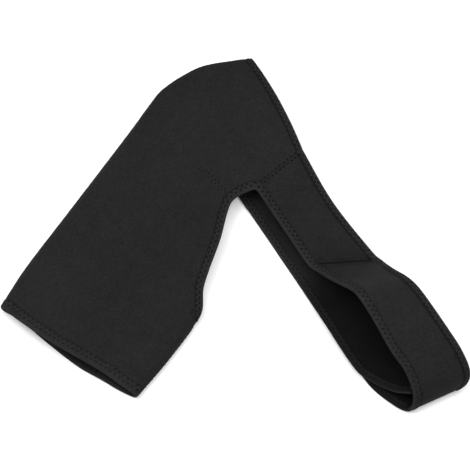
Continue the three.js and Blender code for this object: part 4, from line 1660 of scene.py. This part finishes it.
@dataclass
class Brace:
    """The whole brace: its panels, tapes and stitching."""

    sleeve: Sleeve = field(default_factory=Sleeve)  # the folded sleeve with the shoulder cap
    # The creased strap of the front
    front_strap: Strap = field(default_factory=lambda: Strap(
        FRONT_STRAP_ROWS, [FRONT_CREASE_ROW], True, Crease(FRONT_CREASE_ROW, FRONT_RIDGE_ROW)))
    # The strap of the back, which has no crease, with painted shade growing along its inner face
    back_strap: Strap = field(default_factory=lambda: Strap(
        BACK_STRAP_ROWS, [BACK_CORNER_ROW], False, end_unshaded=0.85))
    jersey: bpy.types.Material = field(default_factory=JERSEY.material)  # finish of the panels
    tape: bpy.types.Material = field(default_factory=TAPE.material)  # finish of the edge tapes
    hooks: bpy.types.Material = field(default_factory=HOOKS.material)  # finish of the patch
    thread: bpy.types.Material = field(default_factory=ThreadFinish().material)  # finish of the stitches

    @staticmethod
    def place(mesh: MeshData, name: str, finish: bpy.types.Material, slot: str) -> bpy.types.Object:
        """Builds a piece and rides it on the brace.

        Args:
            mesh: its mesh.
            name: its name.
            finish: its material.
            slot: not used.

        Returns:
            The piece.
        """
        piece = mesh.build(name, finish)
        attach(piece, BODY)
        return piece

    @staticmethod
    def chain(*parts: tuple[Array, Array, Array]) -> list[Array]:
        """Joins stretches of an edge end to end."""
        return [np.concatenate(columns) for columns in zip(*parts)]

    @staticmethod
    def tape_path(
        parts: Sequence[Array], closed: bool = False, corners: Sequence[Array] = ()
    ) -> EdgePath:
        """The softened line of a taped edge, with even steps to a stitch."""
        return EdgePath.along(*parts, Stitching().pitch / STITCH_STEPS, closed, corners)

    def inner_path(self) -> EdgePath:
        """The edge from the front strap's end round the armhole to the back strap's end.

        Returns:
            The line.
        """
        sleeve = self.sleeve
        parts = self.chain(
            self.front_strap.edge(near=True, from_end=True),
            sleeve.rim(Layer.FRONT, sleeve.strap_row, sleeve.notch_row),
            sleeve.rim(Layer.BACK, sleeve.notch_row + 1, sleeve.strap_row),
            self.back_strap.edge(near=True, from_end=False),
        )
        points = sleeve.surface.points
        corners = [points[sleeve.strap_row, 0], points[sleeve.notch_row, 0], points[sleeve.strap_row, -1]]
        path = self.tape_path(parts, corners=corners)
        far = np.linalg.norm(path.points - corners[1], axis=1)
        return replace(path, pinch=1 - NOTCH_PINCH * bell(far, TAPE_WIDTH))

    def inner_lining_shade(self, path: EdgePath) -> Array:
        """How far the inner tape's inner leg is darkened, as darker cloth with painted shade: in full on
        both straps, little round the armhole.

        Args:
            path: the tape's line.

        Returns:
            The share along the line.
        """
        from_front = path.run - self.front_strap.length
        from_back = path.length - path.run - self.back_strap.length
        ends = np.maximum(1 - smoothstep(from_front, *FRONT_SHADE_WAY), smoothstep(-from_back, *BACK_SHADE_WAY))
        return 1 - self.back_strap.end_unshaded * (1 - ends)

    def inner_wear_and_highlight(self, path: EdgePath) -> Array:
        """How much wear and painted highlight the inner tape's fold gets: less on the loop past the front
        strap's crease, where the fold lies in shade.
        """
        before_crease = path.run - self.front_strap.length + self.front_strap.crease_run
        return LOOP_WEAR_AND_HIGHLIGHT + (1 - LOOP_WEAR_AND_HIGHLIGHT) * smoothstep(before_crease, *LOOP_SHADE_WAY)

    def outer_path(self) -> EdgePath:
        """The edge from the front strap's end over the neck edge to the back strap's end.

        Returns:
            The line.
        """
        inner = self.sleeve.row_at(1 - OUTER_TAPE_WIDTH / self.sleeve.fold_length)
        return self.tape_path(self.chain(
            self.front_strap.edge(near=False, from_end=True),
            self.sleeve.row(-1, inner),
            self.back_strap.edge(near=False, from_end=False),
        ))

    def cuff_path(self) -> EdgePath:
        """The ring of the cuff's edge."""
        inner = self.sleeve.row_at(TAPE_WIDTH / self.sleeve.fold_length)
        return self.tape_path(self.sleeve.row(0, inner), closed=True)

    def upper_cloth(self) -> Cloth:
        """The front layer of the sleeve with the beginning of the front strap.

        Returns:
            Their grid points and normals.
        """
        surface = self.front_strap.surface
        strap = [grid[STRAP_ROWS].reshape(-1, 3) for grid in (surface.points, surface.normals)]
        return Cloth(*self.chain(self.sleeve.upper_cloth(), strap))

    def sewn_path(self, layer: Layer) -> EdgePath:
        """The seam between the sleeve and a strap."""
        rim = self.sleeve.rim(layer, self.sleeve.strap_row, len(self.sleeve.ways) - 1)
        return EdgePath.along(*rim, step=SEAM_STEP)

    def column_path(self, rows: slice, column: int, inner: int) -> EdgePath:
        """A seam along a column of the sleeve's grid, another column being the way inwards."""
        points, normals = self.sleeve.surface.points, self.sleeve.surface.normals
        return EdgePath.along(points[rows, column], points[rows, inner], normals[rows, column], SEAM_STEP)

    def underarm_path(self) -> EdgePath:
        """The underarm seam from the cuff's tape to the armhole's."""
        return self.column_path(slice(UNDERARM_FREE, self.sleeve.notch_row - UNDERARM_FREE), 0, 1)

    def shoulder_path(self) -> EdgePath:
        """The seam over the shoulder, just inside the sleeve's upper edge."""
        rows, fold = slice(self.sleeve.row_at(SHOULDER_WAY), -SHOULDER_FREE), self.sleeve.fold_column
        return self.column_path(rows, fold - SHOULDER_COLUMN, fold - SHOULDER_INNER)

    def dart_path(self) -> EdgePath:
        """The short dart's stitch line on the front, down to the armhole's tape.

        Returns:
            The line.
        """
        plan = DART_ENDS[0] + (DART_ENDS[1] - DART_ENDS[0]) * np.linspace(0, 1, DART_POINTS)[:, None]
        points, normals = self.upper_cloth().over(plan)
        side = np.cross(normals, unit(np.gradient(points, axis=0)))
        return EdgePath.along(points, points + side, normals, SEAM_STEP)

    def build(self) -> None:
        """Builds and dresses every piece."""
        self.build_tapes()
        threads = self.build_seams()
        sleeve = self.place(self.sleeve.mesh(), "sleeve_shell", self.jersey, "neoprene")
        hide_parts("sleeve")
        front = self.place(self.front_strap.mesh(), "front_strap_band", self.jersey, "neoprene")
        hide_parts("front_strap")
        back = self.place(self.back_strap.mesh(), "back_strap_band", self.jersey, "neoprene")
        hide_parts("back_strap")
        patch = self.place(HookPatch().mesh(), "hook_pad", self.hooks, "hook_tape")
        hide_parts("hook_patch")

    def build_tapes(self) -> None:
        """Builds the three edge tapes with their stitches."""
        inner = self.inner_path()
        wide, tight = Stitching(first=4.3, second=8.1), Stitching(first=1.5, second=4.2)
        tapes = {
            "cuff": EdgeTape(self.cuff_path(), CUFF_TAPE_WIDTH, stitching=wide, lining_shade=0.0),
            "inner": EdgeTape(inner, lining_shade=self.inner_lining_shade(inner), worn_and_lit=self.inner_wear_and_highlight(inner)),
            "outer": EdgeTape(self.outer_path(), OUTER_TAPE_WIDTH, stitching=tight),
        }
        for name, tape in tapes.items():
            piece = self.place(tape.mesh(), f"{name}_tape", self.tape, "edge_tape")
            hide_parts(f"{name}_binding")
            stitches = self.place(tape.threads(), f"{name}_stitches", self.thread, "edge_tape")

    def build_seams(self) -> dict[str, bpy.types.Object]:
        """Builds the stitches of the seams.

        Returns:
            The stitches by name.
        """
        cloth = self.upper_cloth()
        seams = {
            "front_seam": (FLATLOCK, replace(self.sewn_path(Layer.FRONT), cloth=cloth), math.inf),
            "back_seam": (FLATLOCK, self.sewn_path(Layer.BACK), math.inf),
            "underarm": (FLATLOCK, self.underarm_path(), SEAM_BEND + HALF_WALL),
            "shoulder": (NARROW, replace(self.shoulder_path(), cloth=cloth), math.inf),
            "dart": (NARROW, replace(self.dart_path(), cloth=cloth), math.inf),
        }
        made = {}
        for seam, (stitching, path, bend) in seams.items():
            name = f"{seam}_stitches"
            thread = stitching.threads(path, SEAM_HEIGHT, Face.OUTER, bend)
            mesh = MeshData.joined([thread, stitching.holes(path, SEAM_HEIGHT, bend)])
            made[name] = self.place(mesh, name, self.thread, "neoprene")
        return made


def main() -> None:
    """Builds the studio and the brace."""
    logging.basicConfig(level=logging.INFO, format="%(name)s: %(message)s")
    Studio().build()
    Brace().build()


if __name__ == "__main__":
    main()
